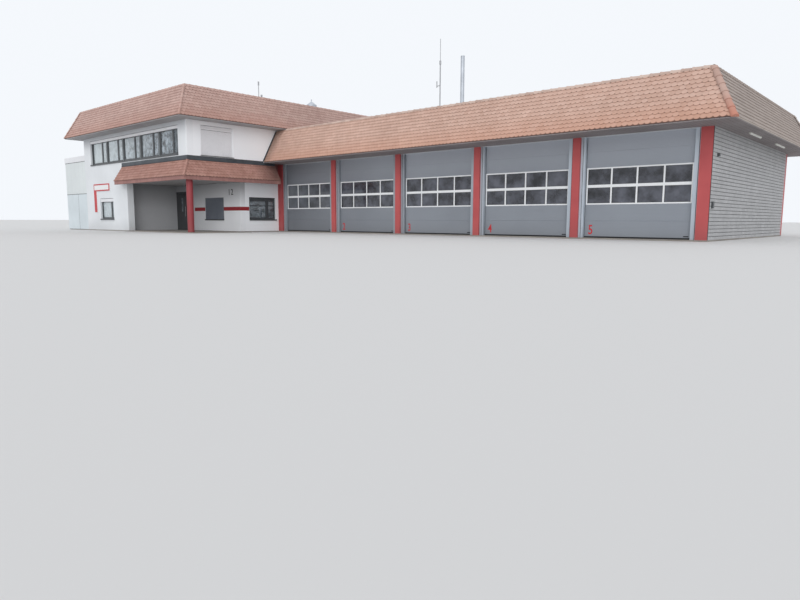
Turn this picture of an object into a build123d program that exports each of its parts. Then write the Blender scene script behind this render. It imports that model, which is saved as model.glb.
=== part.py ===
from build123d import *
from collections import namedtuple
from math import atan2, cos, degrees, hypot, sin, tan
import os

# Fire station: a hall with five vehicle bays and a two-storey wing at its left end.
# The frame has +X along the hall's front to the right, +Y into the depth and +Z up.
# The origin is at ground level under the middle of the vehicle hall.

# Driving sizes in millimetres, with heights above the ground
floor_top = 50

# Vehicle hall
bay_pitch = 4500
bay_count = 5
pillar_width = 300
end_pillar_width = 400
pillar_depth = 300
hall_depth = 11500
hall_wall = 300
rear_recess = 80
side_recess = 10
pillar_top = 3730
hall_deck_bottom = 5050
hall_eaves = 3790
hall_ridge = 5560
hall_tile_top = 5500
front_overhang = 1415
side_overhang = 955
hall_set_back = 950
deck_thickness = 250

# Sectional vehicle doors
door_set_back = 210
door_leaf = 50
door_jamb = 180
jamb_set_back = 80
band_inset = 210
band_bottom = 1275
band_top = 2620
band_border = 50
band_mullion = 60
band_rail = 105
panes_per_row = 4
leaf_joints = (675, 3190)
joint_groove = 8
pane_thickness = 16

# Two-storey wing
wing_projection = 5900
jetty = 630
wing_wall = 350
inner_wall = 300
upper_floor_bottom = 2850
upper_floor_top = 3100
wing_deck_bottom = 6600
wing_soffit = 5520
wing_eaves = 5580
wing_ridge = 7190
wing_tile_top = 7130
wing_overhang = 816
wing_set_back = 780

# Entrance recess in the wing's ground floor
mouth_width = 6000
recess_width = 6800
recess_depth = 3380
doorway_width = 1280
doorway_height = 2320
apron_margin = 320
apron_front = 220
column_radius = 160
column_offset = 100

# Tiled canopy over the recess
canopy_overhang = 540
canopy_eaves = 2800
canopy_soffit_bottom = 2670
canopy_fascia_bottom = 2600
canopy_fascia_inset = 60
canopy_fascia_board = 60
canopy_left_reach = 500
canopy_stop = 650
canopy_top = 3640
notch_ceiling = 150
hanging_tile = 30
flashing_top = 3830
flashing_foot = 830
flashing_sheet = 15
flashing_stop = 1420

# Tiling and roof edges
tile_gauge = 167
tile_layer = 50
tile_step = 18
board_thickness = 100
soffit_board = 30
soffit_lip = 30
soffit_joint = 3
mitre_gap = 3
cap_radius = 110
cap_start = 40
cap_clearance = 34
closing_board = 30

# Windows and shutters
frame_width = 70
frame_depth = 80
frame_set_back = 120
mullion = 130
glass_thickness = 20
sill_height = 70
sill_reach = 50
shutter_thickness = 30
shutter_set_back = 40
ground_sill = 700
ground_head = 1900
ground_box = 200
upper_sill = 3930
upper_head = 5330
upper_box = 160
unit_width = 2086
band_units = 5
band_margin = 830
band_left_margin = 910
rear_band_shift = 300
rear_windows = 3
unit_margin = 143
wide_pane = 1200
single_width = 1800
shutter_window = 1930
side_shutter = 1860
wide_share = 0.72
front_window_margin = 1910
porch_window_margin = 1620
side_window_margin = 160
side_shutter_margin = 760
left_window_margin = 1500
left_window_pitch = 4000

# Entrance door, hinged at its left edge and opening outwards
jamb_left = 90
jamb_right = 80
frame_head = 70
frame_step = 20
frame_joint = 0.5
door_gap = 10
threshold_gap = 8
leaf_thickness = 70
door_pane_width = 220
door_pane_bottom = 1150
door_pane_top = 1950
pin_offset = 12
knuckle_radius = 11
knuckle_height = 45
knuckle_gap = 0.3
strap_length = 60
strap_thickness = 4
hinge_heights = (300, 1130, 1960)
handle_radius = 16
handle_bottom = 850
handle_top = 1450
handle_reach = 55
handle_inset = 90

# Annex
annex_width = 3260
annex_depth = 6000
annex_step = 100
annex_wall = 240
annex_wall_top = 4250
annex_top = 4580
annex_reach = 60
annex_kerb = 120
annex_pocket = 80
annex_board_bottom = 2265
annex_panel_top = 2235
annex_panel_split = 1500
annex_skin = 30

# Things on the roofs, measured from the roof decks and from the building's lines
flue_from_left = 7700
flue_from_middle = 1250
flue_radius = 110
flue_height = 4430
mast_from_middle = -750
mast_radius = 30
mast_height = 3600
mast_clamp = 200
whip_radius = 15
whip_height = 1120
mast_arm_height = 2510
mast_arm = 220
arm_thickness = 30
arm_aerial_radius = 25
arm_aerial_height = 330
arm_aerial_drop = 60
roof_things_from_right = 1730
ventilator_from_middle = -2250
ventilator_duct = 210
ventilator_neck = 600
ventilator_hood_radius = 315
ventilator_hood = 170
ventilator_cone = 200
ventilator_cone_head = 60
ventilator_tip_radius = 30
ventilator_tip = 150
aerial_from_middle = -6110
aerial_radius = 20
aerial_height = 1350
aerial_head = 200
vent_pipe_from_middle = -5920
vent_pipe_radius = 50
vent_pipe_height = 850

# Lights, fittings and the bare sign
light_centres = (-2560, 1550)
light_from_wall = 420
light_length = 1600
light_width = 120
light_drop = 60
lamp_from_front = 450
lamp_bottom = 2800
lamp_size = 100
key_box_from_front = 150
key_box_bottom = 1100
key_box_width = 110
key_box_height = 220
key_box_depth = 75
sign_margin = 1180
sign_length = 2190
sign_post = 360
sign_bottom = 1100
sign_bar_bottom = 2340
sign_top = 2760
sign_thickness = 40

# Reference lines, worked out from the driving sizes
hall_length = bay_count * bay_pitch + end_pillar_width
hall_left, hall_right = -hall_length / 2, hall_length / 2
hall_front, hall_rear = -hall_depth / 2, hall_depth / 2
shell_right = hall_right - side_recess
shell_rear = hall_rear - rear_recess
hall_deck_top = hall_deck_bottom + deck_thickness
wing_right = hall_left + jetty
band_right = wing_right - band_margin
band_left = band_right - band_units * unit_width
wing_left = band_left - band_left_margin
wing_front = hall_front - wing_projection
wing_rear = hall_rear
party_face = hall_left - inner_wall
wing_deck_top = wing_deck_bottom + deck_thickness
mouth_left = hall_left - mouth_width
recess_left = hall_left - recess_width
recess_rear = wing_front + recess_depth
doorway_right = recess_left + doorway_width
annex_left = wing_left - annex_width
annex_front = wing_front + annex_step
annex_rear = annex_front + annex_depth
soffit_top = pillar_top + soffit_board
wing_soffit_top = wing_soffit + soffit_board


def block(x_limits, y_limits, z_limits, mode=Mode.ADD):
    """Add a box, or cut it away, between two limits on each axis."""
    (x0, x1), (y0, y1), (z0, z1) = x_limits, y_limits, z_limits
    with Locations(((x0 + x1) / 2, (y0 + y1) / 2, (z0 + z1) / 2)):
        Box(x1 - x0, y1 - y0, z1 - z0, mode=mode)


def save(piece, name):
    """Label a finished piece and write its STEP file."""
    piece.part.label = name
    export_step(piece.part, f"parts/{name}.step")


os.makedirs("parts", exist_ok=True)

# Floors and paving
with BuildPart() as hall_floor:
    block((hall_left, hall_right), (hall_front, hall_rear), (0, floor_top))
save(hall_floor, "hall_floor")

with BuildPart() as wing_floor:
    block((wing_left, hall_left), (wing_front, wing_rear), (0, floor_top))
    block((mouth_left, wing_right + apron_margin), (wing_front - apron_front, recess_rear),
          (0, floor_top))
    block((annex_left, wing_left), (annex_front, annex_rear), (0, floor_top))
save(wing_floor, "wing_floor")

# Vehicle hall: pillars and walls
pillar_lefts = [hall_left + i * bay_pitch for i in range(bay_count + 1)]
pillar_widths = [end_pillar_width] + [pillar_width] * (bay_count - 1) + [end_pillar_width]
pillars = [(left, left + width) for left, width in zip(pillar_lefts, pillar_widths)]
bays = [(pillar[1], following[0]) for pillar, following in zip(pillars, pillars[1:])]
rear_wall_y = (shell_rear - hall_wall, shell_rear)

with BuildPart() as hall_pillars:
    for pillar_x in pillars:
        block(pillar_x, (hall_front, hall_front + pillar_depth), (floor_top, pillar_top))
        block(pillar_x, (rear_wall_y[0], hall_rear), (floor_top, pillar_top))
save(hall_pillars, "hall_pillars")

with BuildPart() as hall_side_wall:
    block((shell_right - hall_wall, shell_right), (hall_front + pillar_depth, rear_wall_y[0]),
          (floor_top, hall_deck_bottom))
save(hall_side_wall, "hall_side_wall")

with BuildPart() as hall_rear_wall:
    for bay_x in bays:
        block(bay_x, rear_wall_y, (floor_top, pillar_top))
save(hall_rear_wall, "hall_rear_wall")

with BuildPart() as hall_beams:
    for beam_y in ((hall_front, hall_front + pillar_depth), rear_wall_y):
        block((hall_left, shell_right), beam_y, (pillar_top, hall_deck_bottom))
save(hall_beams, "hall_beams")

with BuildPart() as party_wall:
    block((party_face, hall_left), (hall_front, wing_rear), (floor_top, wing_deck_bottom))
save(party_wall, "party_wall")

# Sectional vehicle doors: steel jambs, grooved leaves and their window bands
door_y = (hall_front + door_set_back, hall_front + door_set_back + door_leaf)
band_z = (band_bottom, band_top)
section_joints = (*leaf_joints, band_bottom, (band_bottom + band_top) / 2, band_top)

with BuildPart() as door_jambs:
    for left, right in bays:
        jamb_y = (hall_front + jamb_set_back, hall_front + pillar_depth)
        block((left, left + door_jamb), jamb_y, (floor_top, pillar_top))
        block((right - door_jamb, right), jamb_y, (floor_top, pillar_top))
save(door_jambs, "door_jambs")

with BuildPart() as sectional_doors:
    for left, right in bays:
        block((left + door_jamb, right - door_jamb), door_y, (floor_top, pillar_top))
        block((left + band_inset, right - band_inset), door_y, band_z, mode=Mode.SUBTRACT)
        for joint in section_joints:
            edge = Plane((left, door_y[0], joint), x_dir=(0, 1, 0), z_dir=(1, 0, 0))
            with BuildSketch(edge):
                Rectangle(joint_groove, joint_groove, rotation=45)
            extrude(amount=right - left, mode=Mode.SUBTRACT)
save(sectional_doors, "sectional_doors")

pane_height = (band_top - band_bottom - 2 * band_border - band_rail) / 2
pane_boxes = []
for left, right in bays:
    first_pane = left + band_inset + band_border
    pane_step = (right - band_inset - band_border + band_mullion - first_pane) / panes_per_row
    for column in range(panes_per_row):
        pane_left = first_pane + column * pane_step
        for bottom in (band_bottom + band_border, band_top - band_border - pane_height):
            pane_boxes.append(((pane_left, pane_left + pane_step - band_mullion),
                               (bottom, bottom + pane_height)))

with BuildPart() as door_window_frames:
    for left, right in bays:
        block((left + band_inset, right - band_inset), door_y, band_z)
    for pane_x, pane_z in pane_boxes:
        block(pane_x, door_y, pane_z, mode=Mode.SUBTRACT)
save(door_window_frames, "door_window_frames")

with BuildPart() as door_glazing:
    middle = (door_y[0] + door_y[1]) / 2
    for pane_x, pane_z in pane_boxes:
        block(pane_x, (middle - pane_thickness / 2, middle + pane_thickness / 2), pane_z)
save(door_glazing, "door_glazing")


class Slope:
    """A tiled slope above an eaves line, measured inwards from that line and up."""

    def __init__(self, eaves, top, set_back):
        self.eaves = eaves
        self.top = top
        self.angle = atan2(top - eaves, set_back)
        self.length = hypot(top - eaves, set_back)

    def point(self, along, depth):
        """The point this far up the slope and this deep under the tiles' noses."""
        return (along * cos(self.angle) + depth * sin(self.angle),
                self.eaves + along * sin(self.angle) - depth * cos(self.angle))

    def inset(self, height, depth):
        """The distance inwards of the slope at this height and depth."""
        return (height - self.eaves) / tan(self.angle) + depth / sin(self.angle)

    def height(self, inset, depth):
        """The height of the slope at this distance inwards and depth."""
        return self.eaves + (inset - depth / sin(self.angle)) * tan(self.angle)

    def tiles(self, tile_top):
        """Overlapping courses: each nose stands out from the tail of the course below."""
        courses = round(self.length / tile_gauge)
        gauge = self.length / courses
        end = (tile_top - self.eaves) / sin(self.angle)
        points = []
        for course in range(courses):
            nose = course * gauge
            tail = min(nose + gauge, end)
            if nose < end:
                points.append(self.point(nose, 0))
                points.append(self.point(tail, tile_step * (tail - nose) / gauge))
        points.append(self.point(end, tile_layer))
        points.append(self.point(0, tile_layer))
        return outline(points)

    def boards(self, bottom, top):
        """The boarding under the tiles, cut level at its foot and at its head."""
        outer, inner = tile_layer, tile_layer + board_thickness
        return outline([(self.inset(bottom, outer), bottom), (self.inset(bottom, inner), bottom),
                        (self.inset(top, inner), top), (self.inset(top, outer), top)])

    def body(self, top):
        """Everything under the tiles' noses, used to fit the caps over them."""
        inner = tile_layer + board_thickness
        return outline([(self.inset(self.eaves, 0), self.eaves), (self.inset(self.eaves, inner), self.eaves),
                        (self.inset(top, inner), top), (self.inset(top, 0), top)])

    def ridge_cap(self, top):
        """A half-round ridge tile bedded over the head of the tiles and the boarding."""
        inner = tile_layer + board_thickness
        middle = (self.inset(top, 0) + self.inset(top, inner)) / 2
        with BuildSketch() as section:
            with Locations((middle, self.top - cap_radius)):
                Circle(cap_radius)
            with Locations((middle, self.top - 1.5 * cap_radius)):
                Rectangle(4 * cap_radius, cap_radius, mode=Mode.SUBTRACT)
            add(self.body(top), mode=Mode.SUBTRACT)
        return section.sketch


def outline(points):
    """A closed flat outline through these points."""
    with BuildSketch() as shape:
        with BuildLine():
            Polyline(*points, close=True)
        make_face()
    return shape.sketch


def run_of(section, start, end, mitred_start, mitred_end, gap=mitre_gap):
    """A straight run of a section along part of an eaves line, mitred at its corners."""
    direction = (end - start).normalized()
    inward = Vector(0, 0, 1).cross(direction)
    with BuildPart() as run:
        with BuildSketch(Plane(origin=start, x_dir=inward, z_dir=direction)):
            add(section)
        extrude(amount=(end - start).length)
        if mitred_start:
            split(bisect_by=Plane(start + direction * gap / 2, z_dir=direction - inward))
        if mitred_end:
            split(bisect_by=Plane(end - direction * gap / 2, z_dir=-direction - inward))
    return run.part


def runs_of(section, corners, closed=False, gap=mitre_gap):
    """One run of a section along each side of an eaves line."""
    points = [Vector(x, y, 0) for x, y in corners]
    if closed:
        points.append(points[0])
    last = len(points) - 2
    return [run_of(section, points[i], points[i + 1], closed or i > 0, closed or i < last, gap)
            for i in range(last + 1)]


def hip_cap(slope, set_back, corner, inward):
    """A round bar up a hip, from just above the eaves to just under the ridge tiles."""
    climb = Vector(inward[0] * set_back, inward[1] * set_back, slope.top - slope.eaves)
    foot = Vector(*corner, slope.eaves)
    with BuildPart() as bar:
        with BuildSketch(Plane(origin=foot - climb * 0.1, z_dir=climb)):
            Circle(cap_radius)
        extrude(amount=climb.length * 1.2)
        split(bisect_by=Plane.XY.offset(slope.eaves + cap_start))
        split(bisect_by=Plane.XY.offset(slope.top - cap_radius - mitre_gap), keep=Keep.BOTTOM)
    return bar.part


# Hall roof: soffits, boarding, stepped tile courses, ridge and hip tiles, deck
eaves_right = hall_right + side_overhang
eaves_front = hall_front - front_overhang
eaves_rear = hall_rear + front_overhang
hall_slope = Slope(hall_eaves, hall_ridge, hall_set_back)
hall_line = [(wing_right, eaves_front), (eaves_right, eaves_front), (eaves_right, eaves_rear),
             (hall_left, eaves_rear)]

with BuildPart() as hall_soffits:
    lip_right = eaves_right - soffit_lip
    block((wing_right, lip_right), (eaves_front + soffit_lip, hall_front), (pillar_top, soffit_top))
    block((shell_right, lip_right), (hall_front + soffit_joint, shell_rear - soffit_joint),
          (pillar_top, soffit_top))
    block((hall_left, lip_right), (shell_rear, eaves_rear - soffit_lip), (pillar_top, soffit_top))
save(hall_soffits, "hall_soffits")

hall_board_runs = runs_of(hall_slope.boards(soffit_top, hall_tile_top), hall_line)
closing = outline([(hall_slope.inset(soffit_top, tile_layer), pillar_top),
                   (front_overhang, pillar_top), (front_overhang, hall_tile_top),
                   (hall_slope.inset(hall_tile_top, tile_layer), hall_tile_top),
                   (hall_slope.inset(soffit_top, tile_layer), soffit_top)])
hall_end = Vector(hall_left - soffit_joint, eaves_rear)
hall_end_board = run_of(closing, hall_end, hall_end - Vector(closing_board, 0), False, False)

with BuildPart() as hall_mansard_boarding:
    add(hall_board_runs)
    add(hall_end_board)
save(hall_mansard_boarding, "hall_mansard_boarding")

hall_tile_runs = runs_of(hall_slope.tiles(hall_tile_top), hall_line)

with BuildPart() as hall_roof_tiles:
    add(hall_tile_runs)
save(hall_roof_tiles, "hall_roof_tiles")

wing_eaves_right = wing_right + wing_overhang
cap_left = wing_eaves_right + cap_clearance
hall_cap_line = [(cap_left, eaves_front)] + hall_line[1:3] + [(cap_left, eaves_rear)]
hall_cap_runs = runs_of(hall_slope.ridge_cap(hall_tile_top), hall_cap_line)
hall_bodies = runs_of(hall_slope.body(hall_ridge), hall_line, gap=-mitre_gap)
hall_hips = [hip_cap(hall_slope, hall_set_back, hall_line[1], (-1, 1)),
             hip_cap(hall_slope, hall_set_back, hall_line[2], (-1, -1))]

with BuildPart() as hall_ridge_tiles:
    add(hall_hips)
    add(hall_bodies, mode=Mode.SUBTRACT)
    add(hall_cap_runs)
save(hall_ridge_tiles, "hall_ridge_tiles")


def deck(slope, bottom, x_limits, y_limits):
    """A roof slab whose edges lean to lie against the boarding of the slope around it."""
    inset = slope.inset(bottom, tile_layer + board_thickness)
    (x0, x1), (y0, y1) = x_limits, y_limits
    with BuildPart() as slab:
        with BuildSketch(Plane.XY.offset(bottom)):
            with Locations(((x0 + x1) / 2, (y0 + y1) / 2)):
                Rectangle(x1 - x0 - 2 * inset, y1 - y0 - 2 * inset)
        extrude(amount=deck_thickness, taper=90 - degrees(slope.angle))
    return slab.part


hall_slab = deck(hall_slope, hall_deck_bottom, (wing_left, eaves_right), (eaves_front, eaves_rear))
deck_z = (hall_deck_bottom, hall_deck_top)

with BuildPart() as hall_roof_deck:
    add(hall_slab)
    block((wing_left, hall_left), (eaves_front, eaves_rear), deck_z, mode=Mode.SUBTRACT)
    block((wing_left, wing_right), (eaves_front, hall_front), deck_z, mode=Mode.SUBTRACT)
save(hall_roof_deck, "hall_roof_deck")

# Window openings: a wall, a stretch of it, sill and head heights and what fills them
Wall = namedtuple("Wall", "runs_along outer inward")
Opening = namedtuple("Opening", "wall start end sill head kind")

front_wall = Wall("x", wing_front, 1)
rear_wall = Wall("x", wing_rear, -1)
left_wall = Wall("y", wing_left, 1)
upper_side = Wall("y", wing_right, -1)
lower_side = Wall("y", hall_left, -1)
porch_wall = Wall("x", recess_rear, 1)

front_window = wing_left + front_window_margin
porch_window = hall_left - porch_window_margin - shutter_window
side_window = hall_front - side_window_margin - single_width
side_shutter_start = wing_front + side_shutter_margin
left_window_starts = [annex_rear + left_window_margin + step * left_window_pitch for step in range(2)]
rear_window_pitch = (band_right - band_left - rear_band_shift - single_width) / (rear_windows - 1)
rear_window_starts = [band_left + step * rear_window_pitch for step in range(rear_windows)]

openings = [
    Opening(front_wall, band_left, band_right, upper_sill, upper_head, "band"),
    Opening(front_wall, front_window, front_window + single_width, ground_sill, ground_head, "single"),
    Opening(porch_wall, porch_window, porch_window + shutter_window, ground_sill, ground_head, "shutter"),
    Opening(lower_side, side_window, side_window + single_width, ground_sill, ground_head, "single"),
    Opening(upper_side, side_shutter_start, side_shutter_start + side_shutter,
            upper_sill - sill_height, upper_head, "shutter"),
    Opening(rear_wall, band_left - rear_band_shift, band_right - rear_band_shift, upper_sill, upper_head,
            "band"),
]
for start in left_window_starts:
    openings.append(Opening(left_wall, start, start + single_width, ground_sill, ground_head, "single"))
    openings.append(Opening(left_wall, start, start + single_width, upper_sill, upper_head, "single"))
for start in rear_window_starts:
    openings.append(Opening(rear_wall, start, start + single_width, ground_sill, ground_head, "single"))


def wall_block(wall, along, depth, height, mode=Mode.ADD):
    """A block in a wall, from its stretch, its depth behind the outer face and its height."""
    across = sorted(wall.outer + wall.inward * step for step in depth)
    if wall.runs_along == "x":
        block(along, across, height, mode)
    else:
        block(across, along, height, mode)


def cut_openings(wall, thickness):
    """Cut this wall's window openings right through it."""
    for hole in openings:
        if hole.wall == wall:
            wall_block(wall, (hole.start, hole.end), (0, thickness), (hole.sill, hole.head),
                       mode=Mode.SUBTRACT)


# Wing: walls and floors; a notch in the upper side wall leaves the first pillar's head clear
notch_front = hall_front - canopy_stop

with BuildPart() as wing_front_wall:
    front_y = (wing_front, wing_front + wing_wall)
    block((wing_left, mouth_left), front_y, (floor_top, upper_floor_bottom))
    block((wing_left, wing_right), front_y, (upper_floor_bottom, wing_deck_bottom))
    cut_openings(front_wall, wing_wall)
save(wing_front_wall, "wing_front_wall")

with BuildPart() as wing_left_wall:
    block((wing_left, wing_left + wing_wall), (wing_front + wing_wall, wing_rear - wing_wall),
          (floor_top, wing_deck_bottom))
    cut_openings(left_wall, wing_wall)
save(wing_left_wall, "wing_left_wall")

with BuildPart() as wing_rear_wall:
    block((wing_left, party_face), (wing_rear - wing_wall, wing_rear), (floor_top, wing_deck_bottom))
    cut_openings(rear_wall, wing_wall)
save(wing_rear_wall, "wing_rear_wall")

with BuildPart() as porch_left_wall:
    block((recess_left - inner_wall, recess_left), (wing_front + wing_wall, recess_rear + inner_wall),
          (floor_top, upper_floor_bottom))
save(porch_left_wall, "porch_left_wall")

with BuildPart() as porch_rear_wall:
    block((doorway_right, hall_left), (recess_rear, recess_rear + inner_wall),
          (floor_top, upper_floor_bottom))
    cut_openings(porch_wall, inner_wall)
save(porch_rear_wall, "porch_rear_wall")

with BuildPart() as porch_door_lintel:
    block((recess_left, doorway_right), (recess_rear, recess_rear + inner_wall),
          (doorway_height, upper_floor_bottom))
save(porch_door_lintel, "porch_door_lintel")

with BuildPart() as lower_side_wall:
    block((party_face, hall_left), (recess_rear + inner_wall, hall_front),
          (floor_top, upper_floor_bottom))
    cut_openings(lower_side, inner_wall)
save(lower_side_wall, "lower_side_wall")

with BuildPart() as upper_floor:
    block((wing_left + wing_wall, wing_right - wing_wall),
          (wing_front + wing_wall, hall_front - wing_wall), (upper_floor_bottom, upper_floor_top))
    block((wing_left + wing_wall, party_face), (hall_front - wing_wall, wing_rear - wing_wall),
          (upper_floor_bottom, upper_floor_top))
    block((party_face, wing_right), (notch_front - inner_wall, hall_front - wing_wall),
          (upper_floor_bottom, upper_floor_top), mode=Mode.SUBTRACT)
save(upper_floor, "upper_floor")

with BuildPart() as upper_side_wall:
    upper_z = (upper_floor_bottom, wing_deck_bottom)
    block((wing_right - wing_wall, wing_right), (wing_front + wing_wall, hall_front), upper_z)
    block((party_face, wing_right), (hall_front - wing_wall, hall_front), upper_z)
    block((party_face, wing_right), (notch_front - inner_wall, hall_front),
          (upper_floor_bottom, pillar_top + notch_ceiling))
    block((hall_left, wing_right), (notch_front, hall_front), (upper_floor_bottom, pillar_top),
          mode=Mode.SUBTRACT)
    cut_openings(upper_side, wing_wall)
save(upper_side_wall, "upper_side_wall")

# Wing roof: soffits, boarding, stepped tile courses, ridge and hip tiles, deck
wing_eaves_left = wing_left - wing_overhang
wing_eaves_front = wing_front - wing_overhang
wing_eaves_rear = wing_rear + wing_overhang
wing_slope = Slope(wing_eaves, wing_ridge, wing_set_back)
wing_line = [(wing_eaves_left, wing_eaves_front), (wing_eaves_right, wing_eaves_front),
             (wing_eaves_right, wing_eaves_rear), (wing_eaves_left, wing_eaves_rear)]

with BuildPart() as wing_soffits:
    soffit_z = (wing_soffit, wing_soffit_top)
    lip_x = (wing_eaves_left + soffit_lip, wing_eaves_right - soffit_lip)
    block(lip_x, (wing_eaves_front + soffit_lip, wing_front), soffit_z)
    block(lip_x, (wing_rear, wing_eaves_rear - soffit_lip), soffit_z)
    strip_y = (wing_front + soffit_joint, wing_rear - soffit_joint)
    block((lip_x[0], wing_left), strip_y, soffit_z)
    block((hall_left, lip_x[1]), strip_y, soffit_z)
    block((hall_left, wing_right), (wing_front, hall_front), soffit_z, mode=Mode.SUBTRACT)
save(wing_soffits, "wing_soffits")

wing_board_runs = runs_of(wing_slope.boards(wing_soffit_top, wing_tile_top), wing_line, closed=True)

with BuildPart() as wing_mansard_boarding:
    add(wing_board_runs)
save(wing_mansard_boarding, "wing_mansard_boarding")

wing_tile_runs = runs_of(wing_slope.tiles(wing_tile_top), wing_line, closed=True)

with BuildPart() as wing_roof_tiles:
    add(wing_tile_runs)
save(wing_roof_tiles, "wing_roof_tiles")

wing_cap_runs = runs_of(wing_slope.ridge_cap(wing_tile_top), wing_line, closed=True)
wing_bodies = runs_of(wing_slope.body(wing_ridge), wing_line, closed=True, gap=-mitre_gap)
wing_hips = [hip_cap(wing_slope, wing_set_back, corner, inward)
             for corner, inward in zip(wing_line, ((1, 1), (-1, 1), (-1, -1), (1, -1)))]

with BuildPart() as wing_ridge_tiles:
    add(wing_hips)
    add(wing_bodies, mode=Mode.SUBTRACT)
    add(wing_cap_runs)
save(wing_ridge_tiles, "wing_ridge_tiles")

wing_slab = deck(wing_slope, wing_deck_bottom, (wing_eaves_left, wing_eaves_right),
                 (wing_eaves_front, wing_eaves_rear))

with BuildPart() as wing_roof_deck:
    add(wing_slab)
save(wing_roof_deck, "wing_roof_deck")

# Canopy over the recess: tiles on a timber wedge, hanging tiles, flashing, soffit, column
canopy = Slope(canopy_eaves, canopy_top, canopy_overhang)
canopy_right = wing_right + canopy_overhang
canopy_front = wing_front - canopy_overhang
canopy_left = mouth_left - canopy_left_reach
canopy_line = [(canopy_left, canopy_front), (canopy_right, canopy_front), (canopy_right, notch_front)]
board_face = canopy_fascia_inset + hanging_tile
board_back = board_face + canopy_fascia_board
above_wall = ((wing_left, wing_right), (wing_front, hall_front), (canopy_fascia_bottom, hall_ridge))

canopy_board_runs = runs_of(outline([
    (board_face, canopy_fascia_bottom), (board_back, canopy_fascia_bottom),
    (board_back, upper_floor_bottom), (canopy_overhang, upper_floor_bottom),
    (canopy_overhang, canopy.height(canopy_overhang, tile_layer)),
    (board_face, canopy.height(board_face, tile_layer))]), canopy_line)

with BuildPart() as canopy_boarding:
    add(canopy_board_runs)
save(canopy_boarding, "canopy_boarding")

canopy_tile_runs = runs_of(canopy.tiles(canopy_top), canopy_line)
hanging_runs = runs_of(outline([
    (canopy_fascia_inset, canopy_fascia_bottom), (board_face, canopy_fascia_bottom),
    (board_face, canopy_eaves), (canopy_fascia_inset, canopy_eaves)]), canopy_line)

with BuildPart() as canopy_tiles:
    add(canopy_tile_runs)
    block(*above_wall, mode=Mode.SUBTRACT)
    add(hanging_runs)
save(canopy_tiles, "canopy_tiles")

sheet_face = canopy_overhang - flashing_sheet
flashing_line = canopy_line[:2] + [(canopy_right, hall_front - flashing_stop)]
flashing_runs = runs_of(outline([
    (canopy_overhang, canopy_top), (canopy_overhang, flashing_top), (sheet_face, flashing_top),
    (sheet_face, canopy.height(sheet_face, -flashing_sheet)),
    canopy.point(flashing_foot, -flashing_sheet), canopy.point(flashing_foot, 0)]), flashing_line)

with BuildPart() as canopy_flashing:
    add(flashing_runs)
save(canopy_flashing, "canopy_flashing")

with BuildPart() as canopy_soffit:
    soffit_z = (canopy_soffit_bottom, upper_floor_bottom)
    block((canopy_left, canopy_right - board_back), (canopy_front + board_back, wing_front), soffit_z)
    block((mouth_left, canopy_right - board_back), (wing_front, wing_front + wing_wall), soffit_z)
    block((recess_left, canopy_right - board_back), (wing_front + wing_wall, recess_rear), soffit_z)
    block((hall_left, canopy_right - board_back), (recess_rear, notch_front), soffit_z)
save(canopy_soffit, "canopy_soffit")

with BuildPart() as porch_column:
    with BuildSketch(Plane.XY.offset(floor_top)):
        with Locations((wing_right + column_offset, wing_front)):
            Circle(column_radius)
    extrude(amount=canopy_soffit_bottom - floor_top)
save(porch_column, "porch_column")


# Windows: frames with their boxes, panes of glass, sills and closed shutters
def panes_of(opening):
    """The clear panes of a window as stretches along the wall and heights."""
    box = ground_box if opening.head == ground_head else upper_box
    height = (opening.sill + frame_width, opening.head - box)
    if opening.kind == "band":
        stretches = []
        for unit in range(band_units):
            left = opening.start + unit * unit_width + unit_margin
            right = opening.start + (unit + 1) * unit_width - unit_margin
            stretches += [(left, left + wide_pane), (left + wide_pane + mullion, right)]
    else:
        first, last = opening.start + frame_width, opening.end - frame_width
        split_at = first + (last - first) * wide_share
        stretches = [(first, split_at - mullion / 2), (split_at + mullion / 2, last)]
    return [(stretch, height) for stretch in stretches]


with BuildPart() as window_frames:
    for opening in openings:
        depth = (frame_set_back, frame_set_back + frame_depth)
        wall_block(opening.wall, (opening.start, opening.end), depth, (opening.sill, opening.head))
        for along, height in panes_of(opening):
            wall_block(opening.wall, along, depth, height, mode=Mode.SUBTRACT)
save(window_frames, "window_frames")

with BuildPart() as window_glass:
    glass_start = frame_set_back + (frame_depth - glass_thickness) / 2
    for opening in openings:
        for along, height in panes_of(opening):
            wall_block(opening.wall, along, (glass_start, glass_start + glass_thickness), height)
save(window_glass, "window_glass")

with BuildPart() as window_sills:
    for opening in openings:
        if opening.wall != upper_side:
            wall_block(opening.wall, (opening.start, opening.end), (-sill_reach, 0),
                       (opening.sill - sill_height, opening.sill))
save(window_sills, "window_sills")

with BuildPart() as roller_shutters:
    for opening in openings:
        if opening.kind == "shutter":
            wall_block(opening.wall, (opening.start, opening.end),
                       (shutter_set_back, shutter_set_back + shutter_thickness),
                       (opening.sill, opening.head))
save(roller_shutters, "roller_shutters")

# Entrance door: frame, leaf with a slim pane, handle
leaf_left = recess_left + jamb_left + door_gap
leaf_right = doorway_right - jamb_right - door_gap
leaf_front = recess_rear + frame_step
leaf_y = (leaf_front, leaf_front + leaf_thickness)
leaf_bottom = floor_top + threshold_gap
head_bottom = doorway_height - frame_head
leaf_top = head_bottom - door_gap
pin = (leaf_left - door_gap / 2, leaf_front - pin_offset)
frame_y = (leaf_front, leaf_front + frame_depth)


def knuckle(bottom):
    """A hinge knuckle round the pin."""
    with Locations((*pin, bottom)):
        Cylinder(knuckle_radius, knuckle_height, align=(Align.CENTER, Align.CENTER, Align.MIN))


strap_y = (leaf_front - strap_thickness, leaf_front)

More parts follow.
